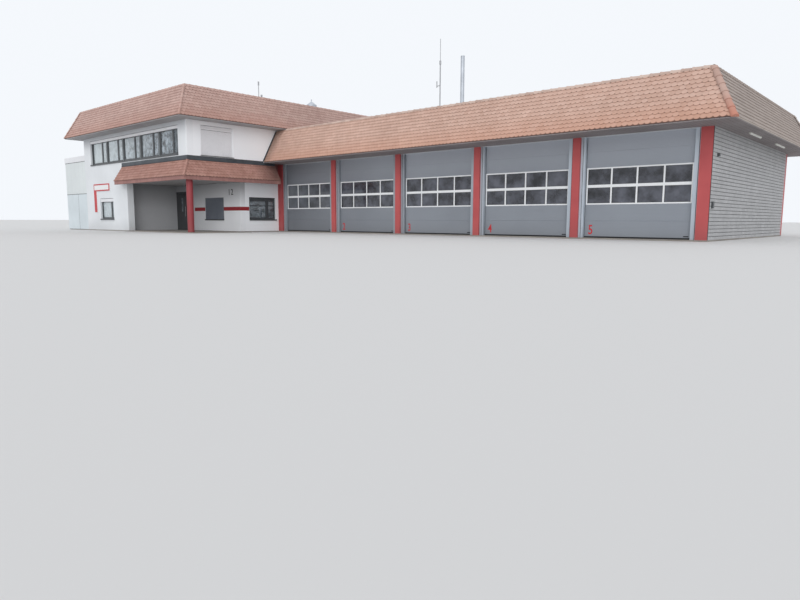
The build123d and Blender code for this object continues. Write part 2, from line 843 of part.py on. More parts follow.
with BuildPart() as entrance_door_frame:
    jamb_z = (floor_top, head_bottom - frame_joint)
    block((recess_left, recess_left + jamb_left), frame_y, jamb_z)
    block((doorway_right - jamb_right, doorway_right), frame_y, jamb_z)
    block((recess_left, doorway_right), frame_y, (head_bottom, doorway_height))
    for bottom in hinge_heights:
        knuckle(bottom)
        block((pin[0] - strap_length, pin[0]), strap_y, (bottom, bottom + knuckle_height))
save(entrance_door_frame, "entrance_door_frame")

pane_centre = (leaf_left + leaf_right) / 2
pane_x = (pane_centre - door_pane_width / 2, pane_centre + door_pane_width / 2)
pane_z = (door_pane_bottom, door_pane_top)

with BuildPart() as entrance_door:
    block((leaf_left, leaf_right), leaf_y, (leaf_bottom, leaf_top))
    block(pane_x, leaf_y, pane_z, mode=Mode.SUBTRACT)
    for hinge in hinge_heights:
        bottom = hinge + knuckle_height + knuckle_gap
        knuckle(bottom)
        block((pin[0], pin[0] + strap_length), strap_y, (bottom, bottom + knuckle_height))
save(entrance_door, "entrance_door")

with BuildPart() as entrance_door_pane:
    pane_front = leaf_front + (leaf_thickness - glass_thickness) / 2
    block(pane_x, (pane_front, pane_front + glass_thickness), pane_z)
save(entrance_door_pane, "entrance_door_pane")

with BuildPart() as entrance_door_handle:
    handle_x = leaf_right - handle_inset
    bar_y = leaf_front - handle_reach
    with Locations((handle_x, bar_y, handle_bottom)):
        Cylinder(handle_radius, handle_top - handle_bottom,
                 align=(Align.CENTER, Align.CENTER, Align.MIN))
    for height in (handle_bottom + 80, handle_top - 80):
        foot = Plane((handle_x, bar_y, height), z_dir=(0, 1, 0))
        with BuildSketch(foot):
            Circle(handle_radius * 0.7)
        extrude(amount=handle_reach)
save(entrance_door_handle, "entrance_door_handle")

# Annex: walls, boarding, panels and a flat roof with a shallow pocket
with BuildPart() as annex_walls:
    wall_z = (floor_top, annex_wall_top)
    block((annex_left, wing_left), (annex_front, annex_front + annex_wall), wall_z)
    block((annex_left, wing_left), (annex_rear - annex_wall, annex_rear), wall_z)
    block((annex_left, annex_left + annex_wall),
          (annex_front + annex_wall, annex_rear - annex_wall), wall_z)
save(annex_walls, "annex_walls")


def annex_skins(height, splits):
    """Sheets over the annex's three outer faces, the front one in separate lengths."""
    (x0, x1), (y0, y1) = (annex_left - annex_skin, wing_left), (annex_front, annex_rear)
    for left, right in splits:
        block((left, right), (y0 - annex_skin, y0), height)
    block((x0, annex_left), (y0, y1), height)
    block((x0, x1), (y1, y1 + annex_skin), height)


panel_split = wing_left - annex_panel_split

with BuildPart() as annex_cladding:
    annex_skins((annex_board_bottom, annex_wall_top), [(annex_left - annex_skin, wing_left)])
save(annex_cladding, "annex_cladding")

with BuildPart() as annex_panels:
    annex_skins((floor_top, annex_panel_top),
                [(annex_left - annex_skin, panel_split - 5), (panel_split + 5, wing_left)])
save(annex_panels, "annex_panels")

with BuildPart() as annex_roof:
    roof_x = (annex_left - annex_reach, wing_left)
    roof_y = (annex_front - annex_reach, annex_rear + annex_reach)
    block(roof_x, roof_y, (annex_wall_top, annex_top))
    block((roof_x[0] + annex_kerb, roof_x[1] - annex_kerb), (roof_y[0] + annex_kerb, roof_y[1] - annex_kerb),
          (annex_top - annex_pocket, annex_top), mode=Mode.SUBTRACT)
save(annex_roof, "annex_roof")

# Flue, mast, ventilator and aerial on the roofs
flue_at = (hall_left + flue_from_left, flue_from_middle)
mast_at = (hall_left + flue_from_left, mast_from_middle)
ventilator_at = (wing_right - roof_things_from_right, ventilator_from_middle)
aerial_at = (wing_right - roof_things_from_right, aerial_from_middle)
vent_pipe_at = (wing_right - roof_things_from_right, vent_pipe_from_middle)


def post(centre, radius, bottom, top):
    """An upright round post between two heights."""
    with Locations((*centre, bottom)):
        Cylinder(radius, top - bottom, align=(Align.CENTER, Align.CENTER, Align.MIN))


with BuildPart() as flue_pipe:
    post(flue_at, flue_radius, hall_deck_top, hall_deck_top + flue_height)
save(flue_pipe, "flue_pipe")

with BuildPart() as aerial_mast:
    mast_top = hall_deck_top + mast_height
    clamp_top = mast_top + mast_clamp
    post(mast_at, mast_radius, hall_deck_top, mast_top)
    post(mast_at, mast_radius * 1.6, mast_top, clamp_top)
    post(mast_at, whip_radius, clamp_top, clamp_top + whip_height)
    arm_bottom = hall_deck_top + mast_arm_height
    arm_end = mast_at[0] - mast_arm
    block((arm_end, mast_at[0]), (mast_at[1] - arm_thickness / 2, mast_at[1] + arm_thickness / 2),
          (arm_bottom, arm_bottom + arm_thickness))
    aerial_bottom = arm_bottom - arm_aerial_drop
    post((arm_end, mast_at[1]), arm_aerial_radius, aerial_bottom, aerial_bottom + arm_aerial_height)
save(aerial_mast, "aerial_mast")

with BuildPart() as roof_ventilator:
    hood_bottom = wing_deck_top + ventilator_neck
    cone_bottom = hood_bottom + ventilator_hood
    cone_top = cone_bottom + ventilator_cone
    post(ventilator_at, ventilator_duct, wing_deck_top, hood_bottom)
    post(ventilator_at, ventilator_hood_radius, hood_bottom, cone_bottom)
    with Locations((*ventilator_at, cone_bottom)):
        Cone(ventilator_hood_radius, ventilator_cone_head, ventilator_cone,
             align=(Align.CENTER, Align.CENTER, Align.MIN))
    post(ventilator_at, ventilator_tip_radius, cone_top, cone_top + ventilator_tip)
save(roof_ventilator, "roof_ventilator")

with BuildPart() as roof_aerial:
    neck_top = wing_deck_top + aerial_height
    post(aerial_at, aerial_radius, wing_deck_top, neck_top)
    post(aerial_at, aerial_radius * 2, neck_top, neck_top + aerial_head)
    post(vent_pipe_at, vent_pipe_radius, wing_deck_top, wing_deck_top + vent_pipe_height)
save(roof_aerial, "roof_aerial")

# Lights under the side eaves, fittings on the side wall and the bare sign
with BuildPart() as soffit_lights:
    light_x = (hall_right + light_from_wall, hall_right + light_from_wall + light_width)
    for centre_y in light_centres:
        block(light_x, (centre_y - light_length / 2, centre_y + light_length / 2),
              (pillar_top - light_drop, pillar_top))
save(soffit_lights, "soffit_lights")

with BuildPart() as side_wall_fittings:
    lamp_y = (hall_front + lamp_from_front, hall_front + lamp_from_front + lamp_size)
    block((shell_right, shell_right + lamp_size), lamp_y, (lamp_bottom, lamp_bottom + lamp_size))
    key_box_y = (hall_front + key_box_from_front, hall_front + key_box_from_front + key_box_width)
    block((hall_right, hall_right + key_box_depth), key_box_y,
          (key_box_bottom, key_box_bottom + key_box_height))
save(side_wall_fittings, "side_wall_fittings")

with BuildPart() as wall_sign:
    sign_left = wing_left + sign_margin
    sign_y = (wing_front - sign_thickness, wing_front)
    block((sign_left, sign_left + sign_length), sign_y, (sign_bar_bottom, sign_top))
    block((sign_left, sign_left + sign_post), sign_y, (sign_bottom, sign_bar_bottom))
save(wall_sign, "wall_sign")
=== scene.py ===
"""Looks of a fire station: a vehicle hall with five sectional doors and a two-storey wing.

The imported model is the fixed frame. Single tiles, ridge and hip tiles, bricks, window sashes,
shutter slats, door numbers and finishes are added around it in the same frame, in metres.
"""

import logging
import math
from dataclasses import asdict, dataclass, field
from enum import Enum

import bmesh
import bpy
from bmesh.types import BMEdge, BMesh
from bpy.types import ID, Material, Mesh, Node, NodeSocket, NodeTree, Object
from mathutils import Matrix, Vector

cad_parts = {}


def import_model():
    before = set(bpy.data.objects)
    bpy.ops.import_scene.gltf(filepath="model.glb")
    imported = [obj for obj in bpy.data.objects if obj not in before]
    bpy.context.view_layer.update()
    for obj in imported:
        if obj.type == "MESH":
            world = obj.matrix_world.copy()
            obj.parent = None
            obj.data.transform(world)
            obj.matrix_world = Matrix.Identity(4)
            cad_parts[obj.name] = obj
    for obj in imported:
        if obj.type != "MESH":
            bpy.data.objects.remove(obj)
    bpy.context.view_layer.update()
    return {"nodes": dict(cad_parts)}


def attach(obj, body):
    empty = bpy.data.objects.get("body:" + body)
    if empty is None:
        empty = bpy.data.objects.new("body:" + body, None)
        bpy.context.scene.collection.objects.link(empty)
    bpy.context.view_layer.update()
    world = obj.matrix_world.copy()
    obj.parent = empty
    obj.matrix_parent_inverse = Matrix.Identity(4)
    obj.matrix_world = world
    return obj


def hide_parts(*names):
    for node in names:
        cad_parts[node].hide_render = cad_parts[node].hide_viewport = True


log = logging.getLogger("fire_station")

Colour = tuple[float, float, float]
Pair = tuple[float, float]
Triple = tuple[float, float, float]
Cut = tuple[Vector, Vector]

BODY = "building"

# Main lines of the building, in metres, the same as in the part's source
FLOOR, HALL_TOP = 0.05, 3.73
HALL_LEFT, HALL_FRONT = -11.45, -5.75
WING_LEFT, WING_RIGHT, WING_FRONT = -22.99, -10.82, -11.65
RECESS_REAR, STOREY = -8.27, 2.5
SHELL_RIGHT, SHELL_REAR = 11.44, 5.67
BAYS = ((-11.05, -6.95), (-6.65, -2.45), (-2.15, 2.05), (2.35, 6.55), (6.85, 11.05))


class Side(Enum):
    """The four directions that a wall can face, with the direction along it from its left end."""

    FRONT = ((1, 0, 0), (0, 1, 0))
    RIGHT = ((0, 1, 0), (-1, 0, 0))
    REAR = ((-1, 0, 0), (0, -1, 0))
    LEFT = ((0, -1, 0), (1, 0, 0))

    @property
    def along(self) -> Vector:
        """The direction along the wall, to the right for someone who faces it."""
        return Vector(self.value[0])

    @property
    def inward(self) -> Vector:
        """The level direction into the building."""
        return Vector(self.value[1])


class Axis(Enum):
    """The axes that joint lines and shades follow, by the names of their sockets."""

    X = "X"
    Y = "Y"
    Z = "Z"


@dataclass(frozen=True)
class Joints:
    """Dark joint lines across an axis: how far apart, how wide and how dark they are."""

    axis: Axis
    pitch: float
    width: float
    depth: float


@dataclass(frozen=True)
class Shade:
    """A tint that is strongest at one place of an axis and gone at another."""

    axis: Axis
    full: float
    none: float
    amount: float
    tint: Colour


@dataclass(frozen=True)
class Finish:
    """How a surface looks: two colours that mix over it, and how rough and uneven it is.

    A spread above 0 is for many small pieces: how much their tones differ.
    """

    name: str
    colour: Colour
    second: Colour
    scale: float = 1.0
    roughness: float = 0.6
    metallic: float = 0.0
    bump: float = 0.2
    bump_scale: float = 40.0
    grime: float = 0.0
    lines: tuple[Joints, ...] = ()
    shades: tuple[Shade, ...] = ()
    spread: float = 0.0


@dataclass(frozen=True)
class Slope:
    """A tiled slope above an eaves line: its heights and how far its ridge is set back.

    Hip and cap are half the widths of its hip tiles and ridge tiles. The hip tiles end under the
    ridge by the drop.
    """

    eaves: float
    ridge: float
    set_back: float
    tile_top: float
    courses: int
    hip: float
    hip_drop: float
    cap: float = 0.0

    @property
    def angle(self) -> float:
        """The slope's angle above level."""
        return math.atan2(self.ridge - self.eaves, self.set_back)

    @property
    def gauge(self) -> float:
        """The part of each course that shows."""
        return math.hypot(self.ridge - self.eaves, self.set_back) / self.courses

    @property
    def end(self) -> float:
        """The length up the slope at which the tiles stop."""
        return (self.tile_top - self.eaves) / math.sin(self.angle)

    def frame(self, start: Vector, side: Side) -> Matrix:
        """A frame on the slope: X along the eaves, Y up the slope and Z out of it."""
        up = side.inward * math.cos(self.angle) + Vector((0, 0, math.sin(self.angle)))
        return frame_of(Vector((start.x, start.y, self.eaves)), side.along, up)


@dataclass(frozen=True)
class Run:
    """One straight side of a tiled slope, from its left end to its right end."""

    name: str
    side: Side
    start: Pair
    end: Pair
    mitred_start: bool = True
    mitred_end: bool = True

    @property
    def length(self) -> float:
        """The run's length along the eaves."""
        return (Vector(self.end) - Vector(self.start)).length

    @property
    def corner(self) -> Vector:
        """The run's left end at ground level."""
        return Vector((*self.start, 0))

    def cuts(self) -> list[Cut]:
        """The upright planes at the run's ends.

        Returns:
            Their points and normals, at 45 degrees where the run meets the next one.
        """
        along, inward = self.side.along, self.side.inward
        first = inward - along if self.mitred_start else -along
        last = inward + along if self.mitred_end else along
        return [(self.corner, first), (Vector((*self.end, 0)), last)]


@dataclass(frozen=True)
class Grid:
    """How often a unit is repeated, at what pitches, and how much the copies differ."""

    columns: int
    rows: int
    pitch: float
    rise: float = 0.0
    stagger: float = 0.0
    jitter: float = 0.0
    seed: int = 1


HALL_SLOPE = Slope(3.79, 5.56, 0.95, 5.50, 12, 0.118, 0.05, 0.112)
WING_SLOPE = Slope(5.58, 7.19, 0.78, 7.13, 11, 0.062, 0.045, 0.075)
CANOPY_SLOPE = Slope(2.80, 3.64, 0.54, 3.64, 6, 0.06, 0.04)
HALL_RUNS = (
    Run("front", Side.FRONT, (WING_RIGHT, -7.165), (12.405, -7.165), mitred_start=False),
    Run("right", Side.RIGHT, (12.405, -7.165), (12.405, 7.165)),
    Run("rear", Side.REAR, (12.405, 7.165), (HALL_LEFT, 7.165), mitred_end=False),
)
WING_RUNS = (
    Run("front", Side.FRONT, (-23.806, -12.466), (-10.004, -12.466)),
    Run("right", Side.RIGHT, (-10.004, -12.466), (-10.004, 6.566)),
    Run("rear", Side.REAR, (-10.004, 6.566), (-23.806, 6.566)),
    Run("left", Side.LEFT, (-23.806, 6.566), (-23.806, -12.466)),
)
CANOPY_RUNS = (
    Run("front", Side.FRONT, (-17.95, -12.19), (-10.28, -12.19), mitred_start=False),
    Run("side", Side.RIGHT, (-10.28, -12.19), (-10.28, -6.40), mitred_end=False),
)

# The front tiles get darker and redder towards the eaves; their second tint is painted shade, the
# shadow of the wing's eaves on the tiles beside its wall.
CLAY_FRONT = Finish("clay_front", (0.87, 0.74, 0.68), (0.76, 0.61, 0.54), 0.7, 0.72, bump=0.35,
                    bump_scale=60, spread=0.45,
                    shades=(Shade(Axis.Z, 3.80, 4.60, 0.42, (0.78, 0.55, 0.44)),
                            Shade(Axis.X, -10.75, -10.1, 0.55, (0.45, 0.38, 0.34))))
CLAY_SIDE = Finish("clay_side", (0.70, 0.65, 0.62), (0.60, 0.55, 0.52), 0.9, 0.8, bump=0.4,
                   bump_scale=60, spread=0.4)
CLAY_WING = Finish("clay_wing", (0.82, 0.70, 0.66), (0.71, 0.57, 0.53), 0.7, 0.74, bump=0.35,
                   bump_scale=60, spread=0.5,
                   shades=(Shade(Axis.Z, 5.58, 6.30, 0.40, (0.68, 0.47, 0.40)),))
# The canopy tiles' tint is painted shade, darkest at their end under the hall's eaves.
CLAY_CANOPY = Finish("clay_canopy", (0.77, 0.60, 0.55), (0.64, 0.46, 0.41), 0.9, 0.72, bump=0.35,
                     bump_scale=60, spread=0.5,
                     shades=(Shade(Axis.Y, -6.60, -7.90, 0.60, (0.36, 0.25, 0.24)),))
CLAY_HANGING = Finish("clay_hanging", (0.67, 0.495, 0.465), (0.56, 0.405, 0.385), 0.9, 0.72,
                      bump=0.35, bump_scale=60, spread=0.5)
CLAY_CAP = Finish("clay_cap", (0.86, 0.77, 0.72), (0.72, 0.61, 0.56), 2.0, 0.74, bump=0.35,
                  bump_scale=50, spread=0.8)
CLAY_HIP = Finish("clay_hip", (0.80, 0.68, 0.63), (0.71, 0.58, 0.53), 2.0, 0.74, bump=0.35,
                  bump_scale=50, spread=0.5,
                  shades=(Shade(Axis.Z, 3.85, 4.60, 0.65, (0.78, 0.46, 0.36)),))
CLAY_SHADE = Finish("clay_shade", (0.52, 0.34, 0.32), (0.45, 0.29, 0.28), 2.0, 0.9)
CLAY_BED = Finish("clay_bed", (0.58, 0.45, 0.40), (0.50, 0.39, 0.35), 2.0, 0.9)
BRICK = Finish("brick", (0.74, 0.74, 0.745), (0.66, 0.66, 0.665), 1.4, 0.85, bump=0.5,
               bump_scale=45, spread=0.45)
MORTAR = Finish("mortar", (0.46, 0.46, 0.46), (0.38, 0.38, 0.38), 2.0, 0.95, bump=0.5,
                bump_scale=80)
RENDER = Finish("render_white", (0.90, 0.91, 0.92), (0.85, 0.86, 0.87), 0.35, 0.8, bump=0.25,
                bump_scale=70, grime=0.35)
# The wing's front wall is a copy of the white render: its first tint is painted shade under the
# eaves, its second painted light on the wall's right end face, where it meets the lit side wall.
EAVES_WHITE = Finish("eaves_white", (0.90, 0.91, 0.92), (0.85, 0.86, 0.87), 0.35, 0.8, bump=0.25,
                     bump_scale=70, grime=0.35,
                     shades=(Shade(Axis.Z, 5.60, 4.80, 0.45, (0.58, 0.59, 0.62)),
                             Shade(Axis.X, -10.82, -10.95, 0.90, (0.96, 0.965, 0.975))))
# The porch walls are a lighter copy of the white render: the lighter base is painted light where
# they meet the lit side wall, and the tints are painted shade under the canopy, darker at the top
# and towards the left.
PORCH_WHITE = Finish("porch_white", (0.96, 0.965, 0.975), (0.94, 0.945, 0.955), 0.35, 0.8,
                     bump=0.25, bump_scale=70, grime=0.15,
                     shades=(Shade(Axis.Z, 2.65, 1.30, 0.55, (0.38, 0.38, 0.39)),
                             Shade(Axis.X, -17.0, -13.0, 0.44, (0.44, 0.45, 0.47))))
# A lighter copy of the white render, with fainter dirt near the ground: painted light on the side
# walls that face the light.
PAINTED_LIGHT_WHITE = Finish("painted_light_white", (0.97, 0.975, 0.985), (0.95, 0.955, 0.965), 0.35, 0.8,
                      bump_scale=70, grime=0.15)
PANEL_WHITE = Finish("panel_white", (0.83, 0.865, 0.88), (0.79, 0.825, 0.84), 0.8, 0.35, bump=0.05)
# The red paint's tint is painted shade on the first pillar, beside the canopy.
RED_PAINT = Finish("red_paint", (0.76, 0.34, 0.34), (0.69, 0.29, 0.30), 0.6, 0.5, bump=0.15,
                   bump_scale=50, grime=0.35,
                   shades=(Shade(Axis.X, -11.3, -10.9, 0.30, (0.42, 0.20, 0.22)),))
# A darker copy of the red paint: painted shade on the porch's column under the canopy.
SHADED_COLUMN_RED = Finish("shaded_column_red", (0.60, 0.23, 0.25), (0.53, 0.20, 0.22), 0.6, 0.5, bump=0.15,
                    bump_scale=50, grime=0.35)
# The doors' tints are painted light and shade: lighter at the top, against the shade under the
# eaves, lighter towards the right end and darker towards the left end.
DOOR_GREY = Finish("door_grey", (0.56, 0.58, 0.61), (0.52, 0.54, 0.57), 0.25, 0.42, bump=0.25,
                   bump_scale=90, grime=0.3, lines=(Joints(Axis.Z, 0.045, 0.005, 0.16),),
                   shades=(Shade(Axis.Z, 3.70, 2.50, 0.60, (0.78, 0.80, 0.84)),
                           Shade(Axis.X, 11.0, 2.0, 0.20, (0.68, 0.71, 0.75)),
                           Shade(Axis.X, -11.2, -2.0, 0.64, (0.38, 0.39, 0.41))))
# The jambs' tint is painted shade, darker towards the left end.
JAMB_GREY = Finish("jamb_grey", (0.76, 0.80, 0.84), (0.70, 0.74, 0.78), 0.5, 0.4, bump=0.08,
                   grime=0.3, shades=(Shade(Axis.X, -2.0, 7.0, 0.50, (0.42, 0.41, 0.42)),))
WHITE_PAINT = Finish("white_paint", (0.90, 0.90, 0.91), (0.86, 0.86, 0.87), 0.8, 0.35, bump=0.05)
SHUTTER_WHITE = Finish("shutter_white", (0.95, 0.95, 0.96), (0.92, 0.92, 0.93), 0.8, 0.4,
                       bump=0.05)
SHUTTER_GREY = Finish("shutter_grey", (0.50, 0.525, 0.565), (0.44, 0.46, 0.50), 0.8, 0.5, bump=0.1)
DARK_FRAME = Finish("dark_frame", (0.30, 0.31, 0.32), (0.25, 0.26, 0.27), 0.8, 0.4, bump=0.08)
GUIDE_GREY = Finish("guide_grey", (0.50, 0.52, 0.53), (0.44, 0.46, 0.47), 0.8, 0.4, bump=0.08)
RUBBER = Finish("rubber", (0.12, 0.12, 0.13), (0.09, 0.09, 0.10), 3.0, 0.8, bump=0.1)
FLASHING = Finish("flashing", (0.33, 0.35, 0.37), (0.26, 0.28, 0.30), 1.4, 0.5, 0.4, bump=0.25,
                  bump_scale=14)
SOFFIT = Finish("soffit", (0.58, 0.55, 0.55), (0.51, 0.48, 0.48), 0.5, 0.7, bump=0.35,
                bump_scale=30, lines=(Joints(Axis.X, 0.15, 0.008, 0.7),))
SOFFIT_PALE = Finish("soffit_pale", (0.64, 0.63, 0.63), (0.60, 0.59, 0.60), 0.5, 0.7,
                     bump_scale=30, lines=(Joints(Axis.X, 0.15, 0.006, 0.12),))
CONCRETE = Finish("concrete", (0.60, 0.58, 0.55), (0.52, 0.50, 0.48), 0.8, 0.9, bump=0.4,
                  bump_scale=35)
ROOF_FELT = Finish("roof_felt", (0.40, 0.40, 0.41), (0.33, 0.33, 0.34), 0.3, 0.95, bump=0.5,
                   bump_scale=120, lines=(Joints(Axis.Y, 1.0, 0.02, 0.5),))
BOARDS = Finish("boards", (0.32, 0.25, 0.24), (0.26, 0.20, 0.19), 1.0, 0.8, bump=0.3,
                lines=(Joints(Axis.Z, 0.14, 0.006, 0.6),))
CLADDING = Finish("cladding", (0.86, 0.88, 0.88), (0.82, 0.84, 0.84), 0.5, 0.5, bump=0.1,
                  bump_scale=30,
                  lines=tuple(Joints(axis, 0.60, 0.006, 0.35) for axis in (Axis.X, Axis.Y)))
ZINC = Finish("zinc", (0.80, 0.82, 0.85), (0.72, 0.74, 0.77), 1.6, 0.4, 0.3, 0.1, 20)
STEEL = Finish("steel", (0.62, 0.62, 0.63), (0.54, 0.54, 0.55), 3.0, 0.32, 0.8, 0.05)
LAMP = Finish("lamp", (0.93, 0.93, 0.90), (0.88, 0.88, 0.85), 4.0, 0.3, bump=0.03)
SIGN_WHITE = Finish("sign_white", (0.93, 0.93, 0.93), (0.90, 0.90, 0.90), 1.0, 0.35, bump=0.04)
SIGN_RED = Finish("sign_red", (0.78, 0.16, 0.18), (0.72, 0.14, 0.16), 1.0, 0.4, bump=0.04)
STRIPE_RED = Finish("stripe_red", (0.62, 0.15, 0.17), (0.56, 0.13, 0.15), 0.8, bump=0.1)
NUMBER_DARK = Finish("number_dark", (0.20, 0.20, 0.21), (0.16, 0.16, 0.17), 1.0, 0.4)
BLIND = Finish("blind", (0.80, 0.82, 0.83), (0.74, 0.76, 0.77), 1.0, 0.5)
EAVES_STRIP = Finish("eaves_strip", (0.80, 0.76, 0.72), (0.72, 0.68, 0.64))
DOOR_WHITE = Finish("door_white", (0.95, 0.955, 0.96), (0.92, 0.925, 0.93), 0.8, 0.35, bump=0.05)
# The panes' colours are painted reflections of the surroundings; their tints are painted
# reflections of the sky, lighter on the first door and on the wing's left windows.
DOOR_PANE = Finish("door_pane", (0.14, 0.145, 0.16), (0.40, 0.41, 0.45), 1.6, 0.05, bump_scale=0.6,
                   shades=(Shade(Axis.X, -11.0, -6.9, 0.6, (0.50, 0.52, 0.54)),))
ENTRANCE_PANE = Finish("entrance_pane", (0.42, 0.44, 0.47), (0.66, 0.69, 0.72), 3.0, 0.1)
WINDOW_PANE = Finish("window_pane", (0.22, 0.25, 0.27), (0.74, 0.79, 0.83), 4.5, 0.05,
                     bump_scale=0.6,
                     shades=(Shade(Axis.X, -22.5, -13.5, 0.90, (0.88, 0.92, 0.93)),))

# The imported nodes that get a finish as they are
DRESS = {
    CONCRETE: "hall_floor wing_floor upper_floor",
    RED_PAINT: "hall_pillars",
    SHADED_COLUMN_RED: "porch_column",
    MORTAR: "hall_side_wall hall_rear_wall",
    RENDER: "hall_beams party_wall wing_left_wall wing_rear_wall annex_walls",
    EAVES_WHITE: "wing_front_wall",
    PAINTED_LIGHT_WHITE: "upper_side_wall lower_side_wall",
    PORCH_WHITE: "porch_left_wall porch_rear_wall porch_door_lintel",
    JAMB_GREY: "door_jambs",
    DOOR_GREY: "sectional_doors",
    DOOR_WHITE: "door_window_frames",
    SOFFIT: "hall_soffits",
    SOFFIT_PALE: "wing_soffits canopy_soffit",
    BOARDS: "hall_mansard_boarding wing_mansard_boarding canopy_boarding",
    ROOF_FELT: "hall_roof_deck wing_roof_deck",
    FLASHING: "canopy_flashing",
    DARK_FRAME: "window_frames window_sills entrance_door_frame entrance_door side_wall_fittings",
    STEEL: "entrance_door_handle aerial_mast roof_aerial",
    CLADDING: "annex_cladding",
    PANEL_WHITE: "annex_panels",
    WHITE_PAINT: "annex_roof",
    ZINC: "flue_pipe roof_ventilator",
    LAMP: "soffit_lights",
    SIGN_WHITE: "wall_sign",
}


def frame_of(origin: Vector, x_axis: Vector, y_axis: Vector) -> Matrix:
    """A frame from its origin and its first two axes.

    Args:
        origin: The frame's origin.
        x_axis: The direction of its first axis.
        y_axis: The direction of its second axis, square to the first.

    Returns:
        The frame's matrix.
    """
    x_axis, y_axis = x_axis.normalized(), y_axis.normalized()
    matrix = Matrix((x_axis, y_axis, x_axis.cross(y_axis))).transposed().to_4x4()
    matrix.translation = origin
    return matrix


def wall_frame(side: Side, x: float, y: float, z: float = 0.0) -> Matrix:
    """A frame on a wall face: X along it, Y up and Z out of it."""
    return frame_of(Vector((x, y, z)), side.along, Vector((0, 0, 1)))


def level_cut(height: float) -> Cut:
    """The level plane at a height, with what lies above it beyond."""
    return Vector((0, 0, height)), Vector((0, 0, 1))


def added(name: str, data: ID) -> Object:
    """A new object of the scene.

    Args:
        name: Its name.
        data: Its mesh, curve, lamp or camera.

    Returns:
        The object.
    """
    obj = bpy.data.objects.new(name, data)
    bpy.context.scene.collection.objects.link(obj)
    return obj


def rgba(colour: Colour) -> tuple[float, ...]:
    """A colour with full alpha, from values between 0 and 1 as a screen shows them."""
    return tuple(((c + 0.055) / 1.055) ** 2.4 if c > 0.04 else c / 12.92 for c in colour) + (1.0,)


class Graph:
    """Short calls to build a node tree."""

    def __init__(self, tree: NodeTree) -> None:
        """Takes the tree that the nodes go into."""
        self.tree = tree

    @classmethod
    def group(cls, name: str, kind: str, inputs: dict[str, str],
              outputs: dict[str, str]) -> "Graph":
        """A new node group with its sockets.

        Args:
            name: The group's name.
            kind: The type of its tree.
            inputs: The kind of each input socket by its name.
            outputs: The same for the output sockets.

        Returns:
            The graph of the empty group.
        """
        tree = bpy.data.node_groups.new(name, kind)
        for way, sockets in (("INPUT", inputs), ("OUTPUT", outputs)):
            for label, value in sockets.items():
                tree.interface.new_socket(label, in_out=way, socket_type="NodeSocket" + value)
        return cls(tree)

    def node(self, kind: str, inputs: dict | None = None, **settings: object) -> Node:
        """Adds a node.

        Args:
            kind: The node's type.
            inputs: Values by input; a socket is linked and any other value set.
            settings: The node's own properties.

        Returns:
            The new node.
        """
        node = self.tree.nodes.new(kind)
        for key, value in settings.items():
            setattr(node, key, value)
        for key, value in (inputs or {}).items():
            if isinstance(value, NodeSocket):
                self.tree.links.new(value, node.inputs[key])
            else:
                node.inputs[key].default_value = value
        return node

    def maths(self, operation: str, *values: float | NodeSocket) -> NodeSocket:
        """The result of a maths node."""
        return self.node("ShaderNodeMath", dict(enumerate(values)), operation=operation).outputs[0]

    def mix(self, factor: NodeSocket, first: tuple | NodeSocket, second: tuple) -> NodeSocket:
        """The result of mixing two colours."""
        node = self.node("ShaderNodeMix", {0: factor, 6: first, 7: second}, data_type="RGBA")
        return node.outputs[2]

    def ramp(self, value: NodeSocket, start: float, end: float, first: float = 0.0,
             last: float = 1.0) -> NodeSocket:
        """A value that goes from first to last while another goes from start to end."""
        return self.node("ShaderNodeMapRange", {"Value": value, "From Min": start, "From Max": end,
                                                "To Min": first, "To Max": last}).outputs[0]


def weather_group() -> NodeTree:
    """A shader group shared by all finishes: large and small unevenness from the object's place.

    Returns:
        A group with inputs Scale and Fine Scale and outputs Broad, Fine and Height.
    """
    g = Graph.group("Weather", "ShaderNodeTree", {"Scale": "Float", "Fine Scale": "Float"},
                    {"Broad": "Float", "Fine": "Float", "Height": "Float"})
    given = g.node("NodeGroupInput").outputs
    place = g.node("ShaderNodeTexCoord").outputs["Object"]
    broad, fine = (g.node("ShaderNodeTexNoise",
                          {"Vector": place, "Scale": given[scale], "Detail": detail,
                           "Roughness": rough}).outputs["Fac"]
                   for scale, detail, rough in (("Scale", 3.0, 0.6), ("Fine Scale", 4.0, 0.7)))
    height = g.maths("ADD", g.maths("MULTIPLY", fine, 0.7), g.maths("MULTIPLY", broad, 0.3))
    g.node("NodeGroupOutput", {"Broad": g.ramp(broad, 0.32, 0.68), "Fine": fine, "Height": height})
    return g.tree


